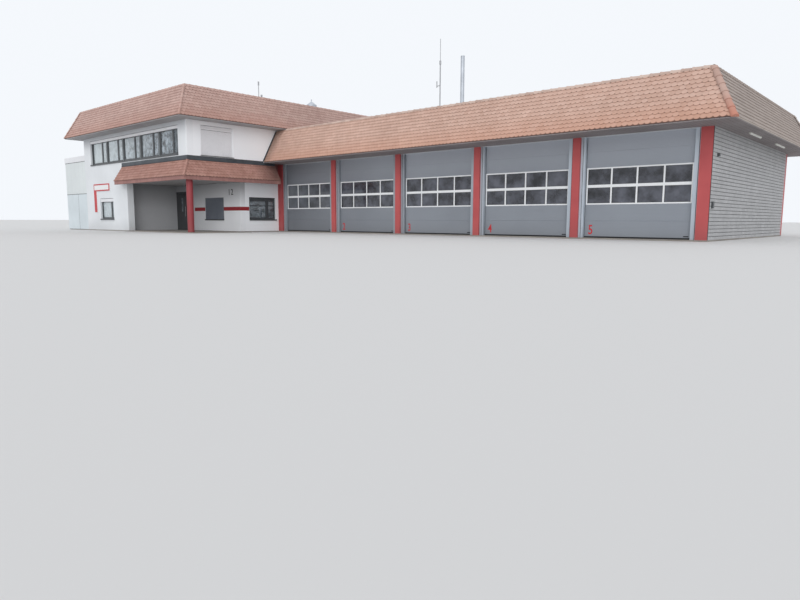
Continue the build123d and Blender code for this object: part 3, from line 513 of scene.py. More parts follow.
def repeat_group() -> NodeTree:
    """Geometry nodes that repeat a unit over columns and rows.

    Returns:
        A group that stores a random tone from 0 to 1 with each copy.
    """
    numbers = {name: "Float" for name in ("Pitch", "Rise", "Stagger", "Jitter")}
    g = Graph.group("Repeat", "GeometryNodeTree",
                    {"Unit": "Object", "Columns": "Int", "Rows": "Int", **numbers, "Seed": "Int",
                     "Material": "Material"}, {"Geometry": "Geometry"})
    given = g.node("NodeGroupInput").outputs
    index = g.node("GeometryNodeInputIndex").outputs[0]
    row = g.maths("MODULO", index, given["Rows"])
    column = g.maths("FLOOR", g.maths("DIVIDE", g.maths("ADD", index, 0.5), given["Rows"]))
    shift = g.maths("MULTIPLY", g.maths("MODULO", row, 2.0), given["Stagger"])
    x = g.maths("ADD", g.maths("MULTIPLY", column, given["Pitch"]), shift)
    place = g.node("ShaderNodeCombineXYZ", {0: x, 1: g.maths("MULTIPLY", row, given["Rise"])})
    points = g.node("GeometryNodePoints",
                    {"Count": g.maths("MULTIPLY", given["Columns"], given["Rows"]),
                     "Position": place.outputs[0]})
    unit = g.node("GeometryNodeObjectInfo", {"Object": given["Unit"]})
    turn = g.node("FunctionNodeRandomValue", {0: (-1, -1, -1), 1: (1, 1, 1), "Seed": given["Seed"]},
                  data_type="FLOAT_VECTOR")
    tilt = g.node("ShaderNodeVectorMath", {0: turn.outputs[0], "Scale": given["Jitter"]},
                  operation="SCALE")
    copies = g.node("GeometryNodeInstanceOnPoints",
                    {"Points": points.outputs[0], "Instance": unit.outputs["Geometry"],
                     "Rotation": tilt.outputs[0]})
    tone = g.node("FunctionNodeRandomValue", {"Seed": g.maths("ADD", given["Seed"], 7.0)},
                  data_type="FLOAT")
    toned = g.node("GeometryNodeStoreNamedAttribute",
                   {"Geometry": copies.outputs[0], "Name": "tone", "Value": tone.outputs[1]},
                   data_type="FLOAT", domain="INSTANCE")
    real = g.node("GeometryNodeRealizeInstances", {"Geometry": toned.outputs[0]})
    painted = g.node("GeometryNodeSetMaterial",
                     {"Geometry": real.outputs[0], "Material": given["Material"]})
    g.node("NodeGroupOutput", {"Geometry": painted.outputs[0]})
    return g.tree


class Canvas(Graph):
    """A material in the making, with its shader and the shared weather group."""

    def __init__(self, finish: Finish, weather: NodeTree) -> None:
        """Starts an empty material.

        Args:
            finish: The finish, whose plain values go on the shader's sockets.
            weather: The shared group.
        """
        self.finish = finish
        self.material = bpy.data.materials.new(finish.name)
        self.material.use_nodes = True
        super().__init__(self.material.node_tree)
        self.sockets = self.tree.nodes["Principled BSDF"].inputs
        self.sockets["Metallic"].default_value = finish.metallic
        self.sockets["Roughness"].default_value = finish.roughness
        scales = {"Scale": finish.scale, "Fine Scale": finish.bump_scale}
        self.weather = self.node("ShaderNodeGroup", scales, node_tree=weather).outputs
        place = self.node("ShaderNodeTexCoord").outputs["Object"]
        self.place = self.node("ShaderNodeSeparateXYZ", {0: place}).outputs

    def ground(self, factor: NodeSocket) -> NodeSocket:
        """The finish's two colours, mixed."""
        return self.mix(factor, rgba(self.finish.colour), rgba(self.finish.second))

    def shaded(self, colour: NodeSocket) -> NodeSocket:
        """A colour with the finish's shades over it."""
        for shade in self.finish.shades:
            place = self.place[shade.axis.value]
            ramp = self.ramp(place, shade.full, shade.none, shade.amount, 0.0)
            uneven = self.maths("MULTIPLY", ramp, self.maths("ADD", self.weather["Fine"], 0.5))
            colour = self.mix(uneven, colour, rgba(shade.tint))
        return colour

    def finished(self, colour: NodeSocket, height: NodeSocket, strength: float,
                 depth: float) -> Material:
        """Links colour and bump to the shader.

        Args:
            colour: The surface's colour.
            height: What the bump follows.
            strength: How strong the bump is.
            depth: How deep the bump is.

        Returns:
            The finished material.
        """
        bump = self.node("ShaderNodeBump", {"Height": height, "Strength": strength,
                                            "Distance": depth})
        self.tree.links.new(colour, self.sockets["Base Color"])
        self.tree.links.new(bump.outputs[0], self.sockets["Normal"])
        return self.material


@dataclass
class Paintbox:
    """Makes each finish once as a procedural material."""

    weather: NodeTree = field(default_factory=weather_group)
    made: dict[str, Material] = field(default_factory=dict)
    joint: Colour = (0.16, 0.16, 0.17)
    dirt: Colour = (0.36, 0.33, 0.30)
    dirt_span: Pair = (0.05, 0.75)
    clear_span: Pair = (-13.0, -12.0)

    def __call__(self, finish: Finish) -> Material:
        """The material of a finish, made at its first use."""
        if finish.name not in self.made:
            self.made[finish.name] = self.varied(finish) if finish.spread else self.plain(finish)
        return self.made[finish.name]

    def plain(self, finish: Finish) -> Material:
        """A painted, rendered or bare surface with stains, fine bump and joint lines.

        Args:
            finish: The surface's finish.

        Returns:
            Its material.
        """
        g = Canvas(finish, self.weather)
        colour, height = g.ground(g.weather["Broad"]), g.weather["Height"]
        if finish.grime:
            low = g.ramp(g.place["Z"], *self.dirt_span, finish.grime, 0.0)
            colour = g.mix(g.maths("MULTIPLY", low, g.weather["Fine"]), colour, rgba(self.dirt))
        colour = g.shaded(colour)
        for line in finish.lines:
            shifted = g.maths("ADD", g.place[line.axis.value], 50.0)
            phase = g.maths("FRACT", g.maths("DIVIDE", shifted, line.pitch))
            inside = g.maths("LESS_THAN", phase, line.width / line.pitch)
            colour = g.mix(g.maths("MULTIPLY", inside, line.depth), colour, rgba(self.joint))
            height = g.maths("SUBTRACT", height, g.maths("MULTIPLY", inside, 2.0))
        return g.finished(colour, height, finish.bump, 0.01)

    def varied(self, finish: Finish) -> Material:
        """A finish for many small pieces, each with its own tone from their tone attribute.

        Args:
            finish: The pieces' finish.

        Returns:
            Their material.
        """
        g = Canvas(finish, self.weather)
        tone = g.node("ShaderNodeAttribute", attribute_name="tone").outputs["Fac"]
        base = g.ground(g.maths("MULTIPLY_ADD", tone, finish.spread, 0.5 - finish.spread / 2))
        dull = rgba(tuple(c * 0.85 for c in finish.second))
        stained = g.mix(g.maths("MULTIPLY", g.weather["Broad"], 0.25), base, dull)
        return g.finished(g.shaded(stained), g.weather["Height"], finish.bump, 0.006)

    def glass(self, finish: Finish, alpha: float, ior: float, clearer: float = 0.0) -> Material:
        """Panes that show the rooms behind them faintly and reflect the surroundings, with more
        reflections painted into their colour.

        Args:
            finish: Painted reflections, the colours of what the panes mirror.
            alpha: How much of that hides the rooms.
            ior: The panes' index of refraction.
            clearer: How much less is hidden at the wing's right end.

        Returns:
            The panes' material.
        """
        g = Canvas(finish, self.weather)
        g.sockets["Alpha"].default_value = alpha
        g.sockets["IOR"].default_value = ior
        if clearer:
            hidden = g.ramp(g.place["X"], *self.clear_span, alpha, alpha - clearer)
            g.tree.links.new(hidden, g.sockets["Alpha"])
        colour = g.shaded(g.ground(g.weather["Broad"]))
        return g.finished(colour, g.weather["Broad"], 0.05, 0.02)


def mesh_of(name: str, points: list, faces: list) -> Mesh:
    """A mesh from points and faces.

    Args:
        name: The mesh's name.
        points: Its points.
        faces: The points' numbers for each face, in order.

    Returns:
        The mesh.
    """
    mesh = bpy.data.meshes.new(name)
    mesh.from_pydata(points, [], faces)
    mesh.validate()
    mesh.update()
    return mesh


def mesh_from(name: str, bm: BMesh) -> Mesh:
    """A mesh from a solid in the making.

    Args:
        name: The mesh's name.
        bm: The solid, which is freed.

    Returns:
        The mesh.
    """
    mesh = bpy.data.meshes.new(name)
    bm.to_mesh(mesh)
    bm.free()
    return mesh


def prism(bm: BMesh, place: Matrix, outline: list[Pair], start: float, end: float) -> None:
    """Adds a prism along X of a frame.

    Args:
        bm: The solid that it is added to.
        place: The frame.
        outline: The section's (Y, Z) points in order.
        start: Where the prism begins along X.
        end: Where it ends.
    """
    rings = [[bm.verts.new(place @ Vector((x, y, z))) for y, z in outline] for x in (start, end)]
    bm.faces.new(rings[0])
    bm.faces.new(list(reversed(rings[1])))
    for i in range(len(outline)):
        j = (i + 1) % len(outline)
        bm.faces.new((rings[0][j], rings[0][i], rings[1][i], rings[1][j]))


def box(bm: BMesh, low: tuple, high: tuple, place: Matrix = Matrix()) -> None:
    """Adds a box between two corners of a frame."""
    outline = [(low[1], low[2]), (high[1], low[2]), (high[1], high[2]), (low[1], high[2])]
    prism(bm, place, outline, low[0], high[0])


def bars(bm: BMesh, place: Matrix, size: Pair, rail: float, depth: Pair) -> None:
    """Adds four bars just inside a rectangle.

    Args:
        bm: The solid that they are added to.
        place: The rectangle's frame, with its lower left corner as origin.
        size: The rectangle's width and height.
        rail: The bars' width.
        depth: Where the bars begin and end along Z.
    """
    (width, height), (back, front) = size, depth
    for x0, x1, y0, y1 in ((0, width, 0, rail), (0, width, height - rail, height),
                           (0, rail, rail, height - rail),
                           (width - rail, width, rail, height - rail)):
        box(bm, (x0, y0, back), (x1, y1, front), place)


def trim(bm: BMesh, cuts: list[Cut], close: bool = True) -> None:
    """Cuts off what lies beyond planes.

    Args:
        bm: What is cut.
        cuts: The planes, as points and normals.
        close: True for a solid, which gets a face where it is cut.
    """
    for point, normal in cuts:
        cut = bmesh.ops.bisect_plane(bm, geom=bm.verts[:] + bm.edges[:] + bm.faces[:],
                                     plane_co=point, plane_no=normal, clear_outer=True, dist=1e-5)
        if close:
            rim = [edge for edge in cut["geom_cut"] if isinstance(edge, BMEdge)]
            bmesh.ops.contextual_create(bm, geom=rim)


def tile_unit(width: float, length: float, thickness: float, step: float) -> Mesh:
    """A plain tile with a rounded nose at Y 0, its tail at the far end a little lower.

    Args:
        width: The tile's width.
        length: Its length up the slope.
        thickness: Its thickness.
        step: How much lower it lies one gauge further up.

    Returns:
        The tile's mesh.
    """
    half, drop, steps, edge, share = width / 2, 0.062, 8, 0.003, 0.84
    nose = [(x, drop * (abs(x) / half) ** 2.2)
            for x in (-half + width * i / steps for i in range(steps + 1))]
    rim = nose + [(half, length), (-half, length)]
    top = [(x, y, -step * y / (length * share)) for x, y in rim]
    inner = [(x * 0.975, y + edge if y < length else y, h) for x, y, h in top]
    points = inner + [(x, y, h - less) for less in (edge, thickness) for x, y, h in top]
    count = len(rim)
    faces = [tuple(range(count))]
    for ring in range(2):
        for i in range(count - 2 if ring else count - 1):
            a, b = ring * count + i, ring * count + i + 1
            faces.append((a, a + count, b + count, b))
    faces.append((count - 1, 2 * count - 1, count, 0))
    faces.append((2 * count - 2, 3 * count - 2, 3 * count - 1, 2 * count - 1))
    return mesh_of("tile_unit", points, faces)


def cap_unit(radius: float, length: float, rise: float = 1.0) -> Mesh:
    """A ridge tile along X, round in section, wider at its start, where it laps over its neighbour.

    Args:
        radius: Half the tile's width.
        length: The tile's length.
        rise: Its height for its half width; 1 is half-round.

    Returns:
        The ridge tile's mesh, closed at its ends.
    """
    steps, wall = 12, 0.014
    rings = [(0.0, 1.06, 0.0), (0.045, 1.06, 0.0), (0.06, 0.98, 0.0), (length, 0.84, 0.0)]
    rings += [(0.0, 1.06, wall), (length, 0.84, wall)]
    points, faces, span = [], [], steps + 1
    for x, scale, less in rings:
        reach = radius * scale - less
        for i in range(span):
            turn = math.pi * i / steps
            points.append((x, -math.cos(turn) * reach, math.sin(turn) * reach * rise))
    for ring in range(3):
        for i in range(steps):
            a = ring * span + i
            faces.append((a, a + span, a + 1 + span, a + 1))
    last, inner = 3 * span, 4 * span
    for i in range(steps):
        faces.append((i, i + 1, inner + i + 1, inner + i))
        faces.append((last + i + 1, last + i, inner + span + i, inner + span + i + 1))
    faces.append(tuple(range(inner, inner + span)))
    return mesh_of("cap_unit", points, faces)


def brick_unit(width: float, height: float, depth: float) -> Mesh:
    """A brick face with worn edges: a low block, smaller at its outer face.

    Args:
        width: The brick's width.
        height: Its height.
        depth: How far it stands out.

    Returns:
        The brick's mesh, open at its back.
    """
    edge, points = 0.006, []
    for inset, z in ((0.0, 0.0), (0.0, depth - edge), (edge, depth)):
        points += [(inset, inset, z), (width - inset, inset, z),
                   (width - inset, height - inset, z), (inset, height - inset, z)]
    faces = [(8, 9, 10, 11)]
    faces += [(ring + i, ring + (i + 1) % 4, ring + 4 + (i + 1) % 4, ring + 4 + i)
              for ring in (0, 4) for i in range(4)]
    return mesh_of("brick_unit", points, faces)


def slat_unit(width: float, height: float, depth: float) -> Mesh:
    """One shutter slat along X with a bulging face and a groove under it.

    Args:
        width: The slat's width.
        height: Its height.
        depth: Its thickness at the bulge.

    Returns:
        The slat's mesh.
    """
    edge = 0.003
    outline = [(0.0, 0.0), (edge, depth * 0.5)]
    outline += [(height * (0.12 + 0.76 * i / 4), depth * (0.75 + 0.25 * math.sin(math.pi * i / 4)))
                for i in range(5)]
    outline += [(height - edge, depth * 0.5), (height - edge, 0.0)]
    bm = bmesh.new()
    prism(bm, Matrix(), outline, 0.0, width)
    return mesh_from("slat_unit", bm)


@dataclass
class Station:
    """Builds the visible pieces and gives each its finish and body."""

    nodes: dict[str, Object]
    paint: Paintbox = field(default_factory=Paintbox)
    repeat: NodeTree = field(default_factory=repeat_group)

    def piece(self, name: str, mesh: Mesh, material: Material, slot: str) -> Object:
        """Adds a finished mesh, already in place, as a piece that rides on the building.

        Args:
            name: The piece's name.
            mesh: Its mesh.
            material: Its material.
            slot: The record's material slot, which is not used.

        Returns:
            The piece.
        """
        obj = added(name, mesh)
        mesh.materials.clear()
        mesh.materials.append(material)
        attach(obj, BODY)
        log.info("%s: %d faces", name, len(mesh.polygons))
        return obj

    def solid(self, name: str, bm: BMesh, finish: Finish, slot: str, bevel: float = 0.0) -> Object:
        """Turns boxes and prisms into a piece.

        Args:
            name: The piece's name.
            bm: The boxes and prisms.
            finish: The piece's finish.
            slot: The record's material slot.
            bevel: The width of its rounded edges, or 0 for sharp ones.

        Returns:
            The piece.
        """
        bmesh.ops.recalc_face_normals(bm, faces=bm.faces[:])
        if bevel:
            bmesh.ops.bevel(bm, geom=list(bm.edges), offset=bevel, segments=2, profile=0.7,
                            affect="EDGES", clamp_overlap=True)
        return self.piece(name, mesh_from(name, bm), self.paint(finish), slot)

    def cover(self, node: str, material: Material) -> None:
        """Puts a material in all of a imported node's slots."""
        materials = self.nodes[node].data.materials
        for index in range(len(materials)):
            materials[index] = material

    def repeated(self, name: str, unit: Mesh, place: Matrix, grid: Grid, finish: Finish, slot: str,
                 cuts: list[Cut] | None = None) -> Object:
        """Repeats a small mesh over a grid, puts it in place and cuts its edges straight.

        Args:
            name: The piece's name.
            unit: The mesh that is repeated.
            place: The frame that the grid lies in.
            grid: Columns, rows, pitches and how much the copies differ.
            finish: The piece's finish.
            slot: The record's material slot.
            cuts: Planes in the building's frame, as points and normals; what lies beyond goes.

        Returns:
            The piece.
        """
        material = self.paint(finish)
        holder = added(name + "_unit", unit)
        host = added(name + "_host", bpy.data.meshes.new(name + "_host"))
        modifier = host.modifiers.new("Repeat", "NODES")
        modifier.node_group = self.repeat
        values = {"Unit": holder, "Material": material}
        values |= {key.capitalize(): value for key, value in asdict(grid).items()}
        for item in self.repeat.interface.items_tree:
            if item.in_out == "INPUT":
                modifier[item.identifier] = values[item.name]
        graph = bpy.context.evaluated_depsgraph_get()
        mesh = bpy.data.meshes.new_from_object(host.evaluated_get(graph))
        for obj in (host, holder):
            bpy.data.objects.remove(obj)
        mesh.transform(place)
        if cuts:
            bm = bmesh.new()
            bm.from_mesh(mesh)
            trim(bm, cuts, close=False)
            bm.to_mesh(mesh)
            bm.free()
        return self.piece(name, mesh, material, slot)

    def figures(self, name: str, text: str, corner: Vector, height: float, finish: Finish,
                slot: str, squeeze: float = 1.0) -> None:
        """Adds plain figures on a face that looks to the front.

        Args:
            name: The piece's name.
            text: The figures.
            corner: Their lower left corner on the face.
            height: Their height.
            finish: Their finish.
            slot: The record's material slot.
            squeeze: Their width as a share of the usual width.
        """
        curve = bpy.data.curves.new(name, "FONT")
        curve.body, curve.extrude, curve.offset = text, 0.0015, 0.012
        curve.space_character = 1.25
        holder = added(name + "_text", curve)
        graph = bpy.context.evaluated_depsgraph_get()
        mesh = bpy.data.meshes.new_from_object(holder.evaluated_get(graph))
        bpy.data.objects.remove(holder)
        low, high = extent([vertex.co for vertex in mesh.vertices])
        scale = height / (high.y - low.y)
        sizing = Matrix.Diagonal((scale * squeeze, scale, 1, 1))
        mesh.transform(wall_frame(Side.FRONT, corner.x, corner.y - 0.002, corner.z) @ sizing
                       @ Matrix.Translation((-low.x, -low.y, 0)))
        self.piece(name, mesh, self.paint(finish), slot)


def extent(points: list[Vector]) -> tuple[Vector, Vector]:
    """The lowest and highest corners of the box round some points."""
    return tuple(Vector(pick(p[i] for p in points) for i in range(3)) for pick in (min, max))


def islands(obj: Object) -> list[tuple[Vector, Vector]]:
    """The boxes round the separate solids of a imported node.

    Args:
        obj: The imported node.

    Returns:
        The lowest and highest corner of each solid, in the order of their lowest corners.
    """
    bm = bmesh.new()
    bm.from_mesh(obj.data)
    bmesh.ops.remove_doubles(bm, verts=bm.verts[:], dist=1e-4)
    left, found = set(bm.verts), []
    while left:
        stack, seen = [left.pop()], []
        while stack:
            vert = stack.pop()
            seen.append(obj.matrix_world @ vert.co)
            others = {edge.other_vert(vert) for edge in vert.link_edges} & left
            left -= others
            stack += others
        found.append(extent(seen))
    bm.free()
    return sorted(found, key=lambda pair: tuple(round(c, 3) for c in pair[0]))


@dataclass
class Roofer:
    """Lays tiles, the bed under them, and ridge and hip tiles on the slopes."""

    station: Station
    pitch: float = 0.187
    tile_gap: float = 0.001
    tile_lap: float = 1.19
    tile: float = 0.018
    tile_step: float = 0.023
    tilt: float = 0.004
    bed: float = 0.030
    bed_fall: float = 0.012
    layer: float = 0.05
    cover: float = 0.335
    cap_lap: float = 1.12
    cap_inset: float = 0.075
    cap_lift: float = 0.002
    cap_tilt: float = 0.006
    hall_caps: Triple = (0.85, 0.87, 0.87)
    wing_caps: float = 0.74
    sunk_share: float = 0.62
    hip_crown: float = 0.034
    hip_reach: float = 0.095
    hanging_width: float = 0.178
    hanging_span: Pair = (2.60, 2.79)
    hanging_depth: float = 0.014
    hanging_inset: float = 0.075
    strip_depth: Pair = (-0.014, 0.010)
    strip_height: Pair = (-0.052, -0.020)
    sheet: float = 0.015
    sheet_foot: float = 0.94
    sheet_top: float = 3.81
    side_sheet_end: float = -7.17
    cheek: float = 0.012
    cheek_top: float = 3.728

    def lay(self, roof: str, slope: Slope, run: Run, finish: Finish, seed: int,
            wall: list[Cut] | None = None) -> Object:
        """Covers one run with single tiles and the bed under them.

        Args:
            roof: The roof's name.
            slope: Its slope.
            run: The run.
            finish: The tiles' finish.
            seed: The seed of their tones and tilts.
            wall: More planes that they end at.

        Returns:
            The tiles.
        """
        columns = math.ceil(run.length / self.pitch) + 2
        grid = Grid(columns, slope.courses, self.pitch, slope.gauge, self.pitch / 2, self.tilt,
                    seed)
        start = run.corner - run.side.along * (self.pitch * 0.75)
        unit = tile_unit(self.pitch - self.tile_gap, slope.gauge * self.tile_lap, self.tile,
                         self.tile_step)
        cuts = run.cuts() + [level_cut(slope.tile_top)] + (wall or [])
        tiles = self.station.repeated(f"{roof}_tiles_{run.name}", unit,
                                      slope.frame(start, run.side), grid, finish, "roof_tile", cuts)
        bm = bmesh.new()
        outline = [(self.bed_fall, -self.bed), (slope.end, -self.bed - self.bed_fall),
                   (slope.end, -self.layer), (self.bed_fall, -self.layer)]
        prism(bm, slope.frame(run.corner, run.side), outline, 0, run.length)
        trim(bm, cuts)
        self.station.solid(f"{roof}_bed_{run.name}", bm, CLAY_BED, "roof_tile")
        return tiles

    def ridge(self, roof: str, slope: Slope, run: Run, start: float, finish: Finish,
              seed: int) -> Object:
        """Lays half-round tiles along the head of one run.

        Args:
            roof: The roof's name.
            slope: Its slope.
            run: The run.
            start: How far from the run's left end they begin.
            finish: Their finish.
            seed: The seed of their tones and tilts.

        Returns:
            The ridge tiles.
        """
        radius, along, inward = slope.cap, run.side.along, run.side.inward
        inset = (slope.tile_top - slope.eaves) / math.tan(slope.angle)
        inset += self.cap_inset / math.sin(slope.angle)
        origin = Vector((*run.start, slope.ridge - radius + self.cap_lift))
        origin += inward * inset + along * start
        cuts = run.cuts()
        if not run.mitred_start:
            cuts[0] = (cuts[0][0] + along * start, cuts[0][1])
        count = math.ceil((run.length - start) / self.cover)
        return self.station.repeated(f"{roof}_ridge_{run.name}",
                                     cap_unit(radius, self.cover * self.cap_lap),
                                     frame_of(origin, along, inward),
                                     Grid(count, 1, self.cover, jitter=self.cap_tilt, seed=seed),
                                     finish, "roof_tile", cuts)

    def hip(self, name: str, slope: Slope, run: Run, finish: Finish, seed: int) -> None:
        """Lays tiles up the hip at the end of a run, sunk so that their rims lie on both slopes.

        Args:
            name: The piece's name.
            slope: The roof's slope.
            run: The run.
            finish: The tiles' finish.
            seed: The seed of their tones and tilts.
        """
        radius, along, inward = slope.hip, run.side.along, run.side.inward
        climb = (inward - along) * slope.set_back + Vector((0, 0, slope.ridge - slope.eaves))
        outward = Vector((-climb.x * climb.z, -climb.y * climb.z, climb.x ** 2 + climb.y ** 2))
        outward.normalize()
        sink = radius * self.sunk_share
        place = frame_of(Vector((*run.end, slope.eaves)) - outward * sink, climb,
                         outward.cross(climb))
        corner = Vector((*run.end, 0)) + (along - inward) * self.hip_reach
        unit = cap_unit(radius, self.cover * self.cap_lap, (sink + self.hip_crown) / radius)
        count = math.ceil(climb.length / self.cover)
        grid = Grid(count, 1, self.cover, jitter=self.tilt, seed=seed)
        cuts = [level_cut(slope.ridge - slope.hip_drop), (corner, -inward), (corner, along)]
        self.station.repeated(name, unit, place, grid, finish, "roof_tile", cuts)

    def hall(self) -> None:
        """Tiles the vehicle hall's slopes: orange in front and weathered grey at the side."""
        tiles = [self.lay("hall", HALL_SLOPE, run, finish, seed) for seed, (run, finish)
                 in enumerate(zip(HALL_RUNS, (CLAY_FRONT, CLAY_SIDE, CLAY_FRONT)), 3)]
        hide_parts("hall_roof_tiles")
        caps = [self.ridge("hall", HALL_SLOPE, run, start, finish, seed)
                for seed, (run, start, finish) in enumerate(
                    zip(HALL_RUNS, self.hall_caps, (CLAY_CAP, CLAY_SIDE, CLAY_CAP)), 21)]
        self.hip("hall_hip_front", HALL_SLOPE, HALL_RUNS[0], CLAY_HIP, 31)
        self.hip("hall_hip_rear", HALL_SLOPE, HALL_RUNS[1], CLAY_SIDE, 32)
        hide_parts("hall_ridge_tiles")
        bm, run, (low, high) = bmesh.new(), HALL_RUNS[1], self.strip_height
        box(bm, (0, self.strip_depth[0], low), (run.length, self.strip_depth[1], high),
            HALL_SLOPE.frame(run.corner, run.side))
        trim(bm, run.cuts())
        self.station.solid("side_eaves_strip", bm, EAVES_STRIP, "white_frame")

    def wing(self) -> None:
        """Tiles the wing's slopes on all four sides."""
        tiles = [self.lay("wing", WING_SLOPE, run, CLAY_WING, seed)
                 for seed, run in enumerate(WING_RUNS, 41)]
        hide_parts("wing_roof_tiles")
        caps = [self.ridge("wing", WING_SLOPE, run, self.wing_caps, CLAY_WING, seed)
                for seed, run in enumerate(WING_RUNS, 51)]
        for number, run in enumerate(WING_RUNS, 1):
            self.hip(f"wing_hip_{number}", WING_SLOPE, run, CLAY_WING, 60 + number)
        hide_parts("wing_ridge_tiles")

    def canopy(self) -> None:
        """Tiles the small slope over the recess, with a band of hanging tiles under its eaves."""
        walls = ((Vector((0, WING_FRONT, 0)), Vector((0, 1, 0))),
                 (Vector((WING_RIGHT, 0, 0)), Vector((-1, 0, 0))))
        for seed, (run, wall) in enumerate(zip(CANOPY_RUNS, walls), 71):
            self.lay("canopy", CANOPY_SLOPE, run, CLAY_CANOPY, seed, [wall])
            self.hanging(run, seed + 10)
        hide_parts("canopy_tiles")
        self.flashing()
        # A dark sheet in the colour of shaded clay, over the wall face and under the hall's soffit
        # from the canopy's end to the hall's front: painted shade where the canopy's tiles run on
        # into the shade of the hall's eaves.
        bm, start, end = bmesh.new(), CANOPY_RUNS[1].end[1], HALL_FRONT - 0.001
        face = HALL_LEFT + self.cheek
        box(bm, (HALL_LEFT, start, CANOPY_SLOPE.eaves), (face, end, self.cheek_top))
        box(bm, (face, start, self.cheek_top - self.cheek), (WING_RIGHT, end, self.cheek_top))
        self.station.solid("canopy_cheek", bm, CLAY_SHADE, "roof_tile")
        self.hip("canopy_hip", CANOPY_SLOPE, CANOPY_RUNS[0], CLAY_CANOPY, 79)

    def flashing(self) -> None:
        """Adds a metal sheet along the canopy's head, up the wall and a little over the tiles."""
        slope, sheet, foot = CANOPY_SLOPE, self.sheet, self.sheet_foot
        sine, cosine = math.sin(slope.angle), math.cos(slope.angle)
        inner, outer = slope.set_back, slope.set_back - sheet
        bend = slope.eaves + (outer + sheet / sine) * math.tan(slope.angle)
        toe = (foot * cosine, slope.eaves + foot * sine)
        profile = [(inner, slope.ridge), toe, (toe[0] - sheet * sine, toe[1] + sheet * cosine),
                   (outer, bend), (outer, self.sheet_top), (inner, self.sheet_top)]
        bm = bmesh.new()
        lengths = (CANOPY_RUNS[0].length, self.side_sheet_end - CANOPY_RUNS[1].start[1])
        for run, length in zip(CANOPY_RUNS, lengths):
            part = bmesh.new()
            prism(part, frame_of(run.corner, run.side.along, run.side.inward), profile, 0, length)
            trim(part, run.cuts())
            mesh = mesh_from("flashing_part", part)
            bm.from_mesh(mesh)
            bpy.data.meshes.remove(mesh)
        # The sheet runs on over the wall face under the hall's soffit to the canopy's end: painted
        # shade there.
        box(bm, (WING_RIGHT, self.side_sheet_end, 3.60),
            (WING_RIGHT + sheet, CANOPY_RUNS[1].end[1] - 0.01, 3.725))
        piece = self.station.solid("canopy_sheet", bm, FLASHING, "dark_metal")
        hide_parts("canopy_flashing")

    def hanging(self, run: Run, seed: int) -> None:
        """Adds upright tiles on the board under the canopy's eaves.

        Args:
            run: The canopy's run.
            seed: The seed of the tiles' tones.
        """
        bottom, top = self.hanging_span
        face = Vector((*run.start, bottom)) + run.side.inward * self.hanging_inset
        unit = brick_unit(self.hanging_width - 0.004, top - bottom, self.hanging_depth)
        place = frame_of(face, run.side.along, Vector((0, 0, 1)))
        count = math.ceil(run.length / self.hanging_width) + 1
        grid = Grid(count, 1, self.hanging_width, seed=seed)
        self.station.repeated(f"canopy_hanging_{run.name}", unit, place, grid, CLAY_HANGING,
                              "roof_tile", run.cuts())
        bm = bmesh.new()
        box(bm, (0, 0, -self.hanging_depth), (run.length, top - bottom, 0), place)
        trim(bm, run.cuts())
        self.station.solid(f"canopy_backing_{run.name}", bm, CLAY_BED, "roof_tile")

    def work(self) -> None:
        """Covers all roofs."""
        self.hall()
        self.wing()
        self.canopy()


@dataclass
class Mason:
    """Lays brick faces on the hall's side and rear walls."""

    station: Station
    course: float = 0.125
    pitch: float = 0.25
    bed_joint: float = 0.018
    head_joint: float = 0.002
    tilt: float = 0.002
    rows: int = 30
    side_length: float = 11.20
    side_depth: float = 0.020
    rear_depth: float = 0.010
    pillar_rear: float = -5.45
    mortar: float = 0.013

    def lay(self, name: str, side: Side, start: Pair, length: float, seed: int,
            depth: float) -> None:
        """Covers one stretch of wall with stretchers in half bond.

        Args:
            name: The piece's name.
            side: The side that the wall faces.
            start: The stretch's left end.
            length: Its length.
            seed: The seed of the bricks' tones and tilts.
            depth: How far the bricks stand out.
        """
        unit = brick_unit(self.pitch - self.head_joint, self.course - self.bed_joint, depth)
        first = Vector((*start, 0))
        place = wall_frame(side, *(first - side.along * (self.pitch * 0.75)).xy, FLOOR)
        grid = Grid(math.ceil(length / self.pitch) + 2, self.rows, self.pitch, self.course,
                    self.pitch / 2, self.tilt, seed)
        cuts = [(first, -side.along), (first + side.along * length, side.along),
                level_cut(HALL_TOP)]
        self.station.repeated(name, unit, place, grid, BRICK, "pale_brick", cuts)

    def work(self) -> None:
        """Lays the side wall, over the front pillar's side too, and the rear wall's panels."""
        self.lay("side_bricks", Side.RIGHT, (SHELL_RIGHT, HALL_FRONT), self.side_length, 5,
                 self.side_depth)
        bm = bmesh.new()
        box(bm, (SHELL_RIGHT, HALL_FRONT, FLOOR),
            (SHELL_RIGHT + self.mortar, self.pillar_rear, HALL_TOP))
        self.station.solid("side_mortar", bm, MORTAR, "pale_brick")
        for number, (left, right) in enumerate(BAYS, 1):
            self.lay(f"rear_bricks_{number}", Side.REAR, (right, SHELL_REAR), right - left,
                     10 + number, self.rear_depth)


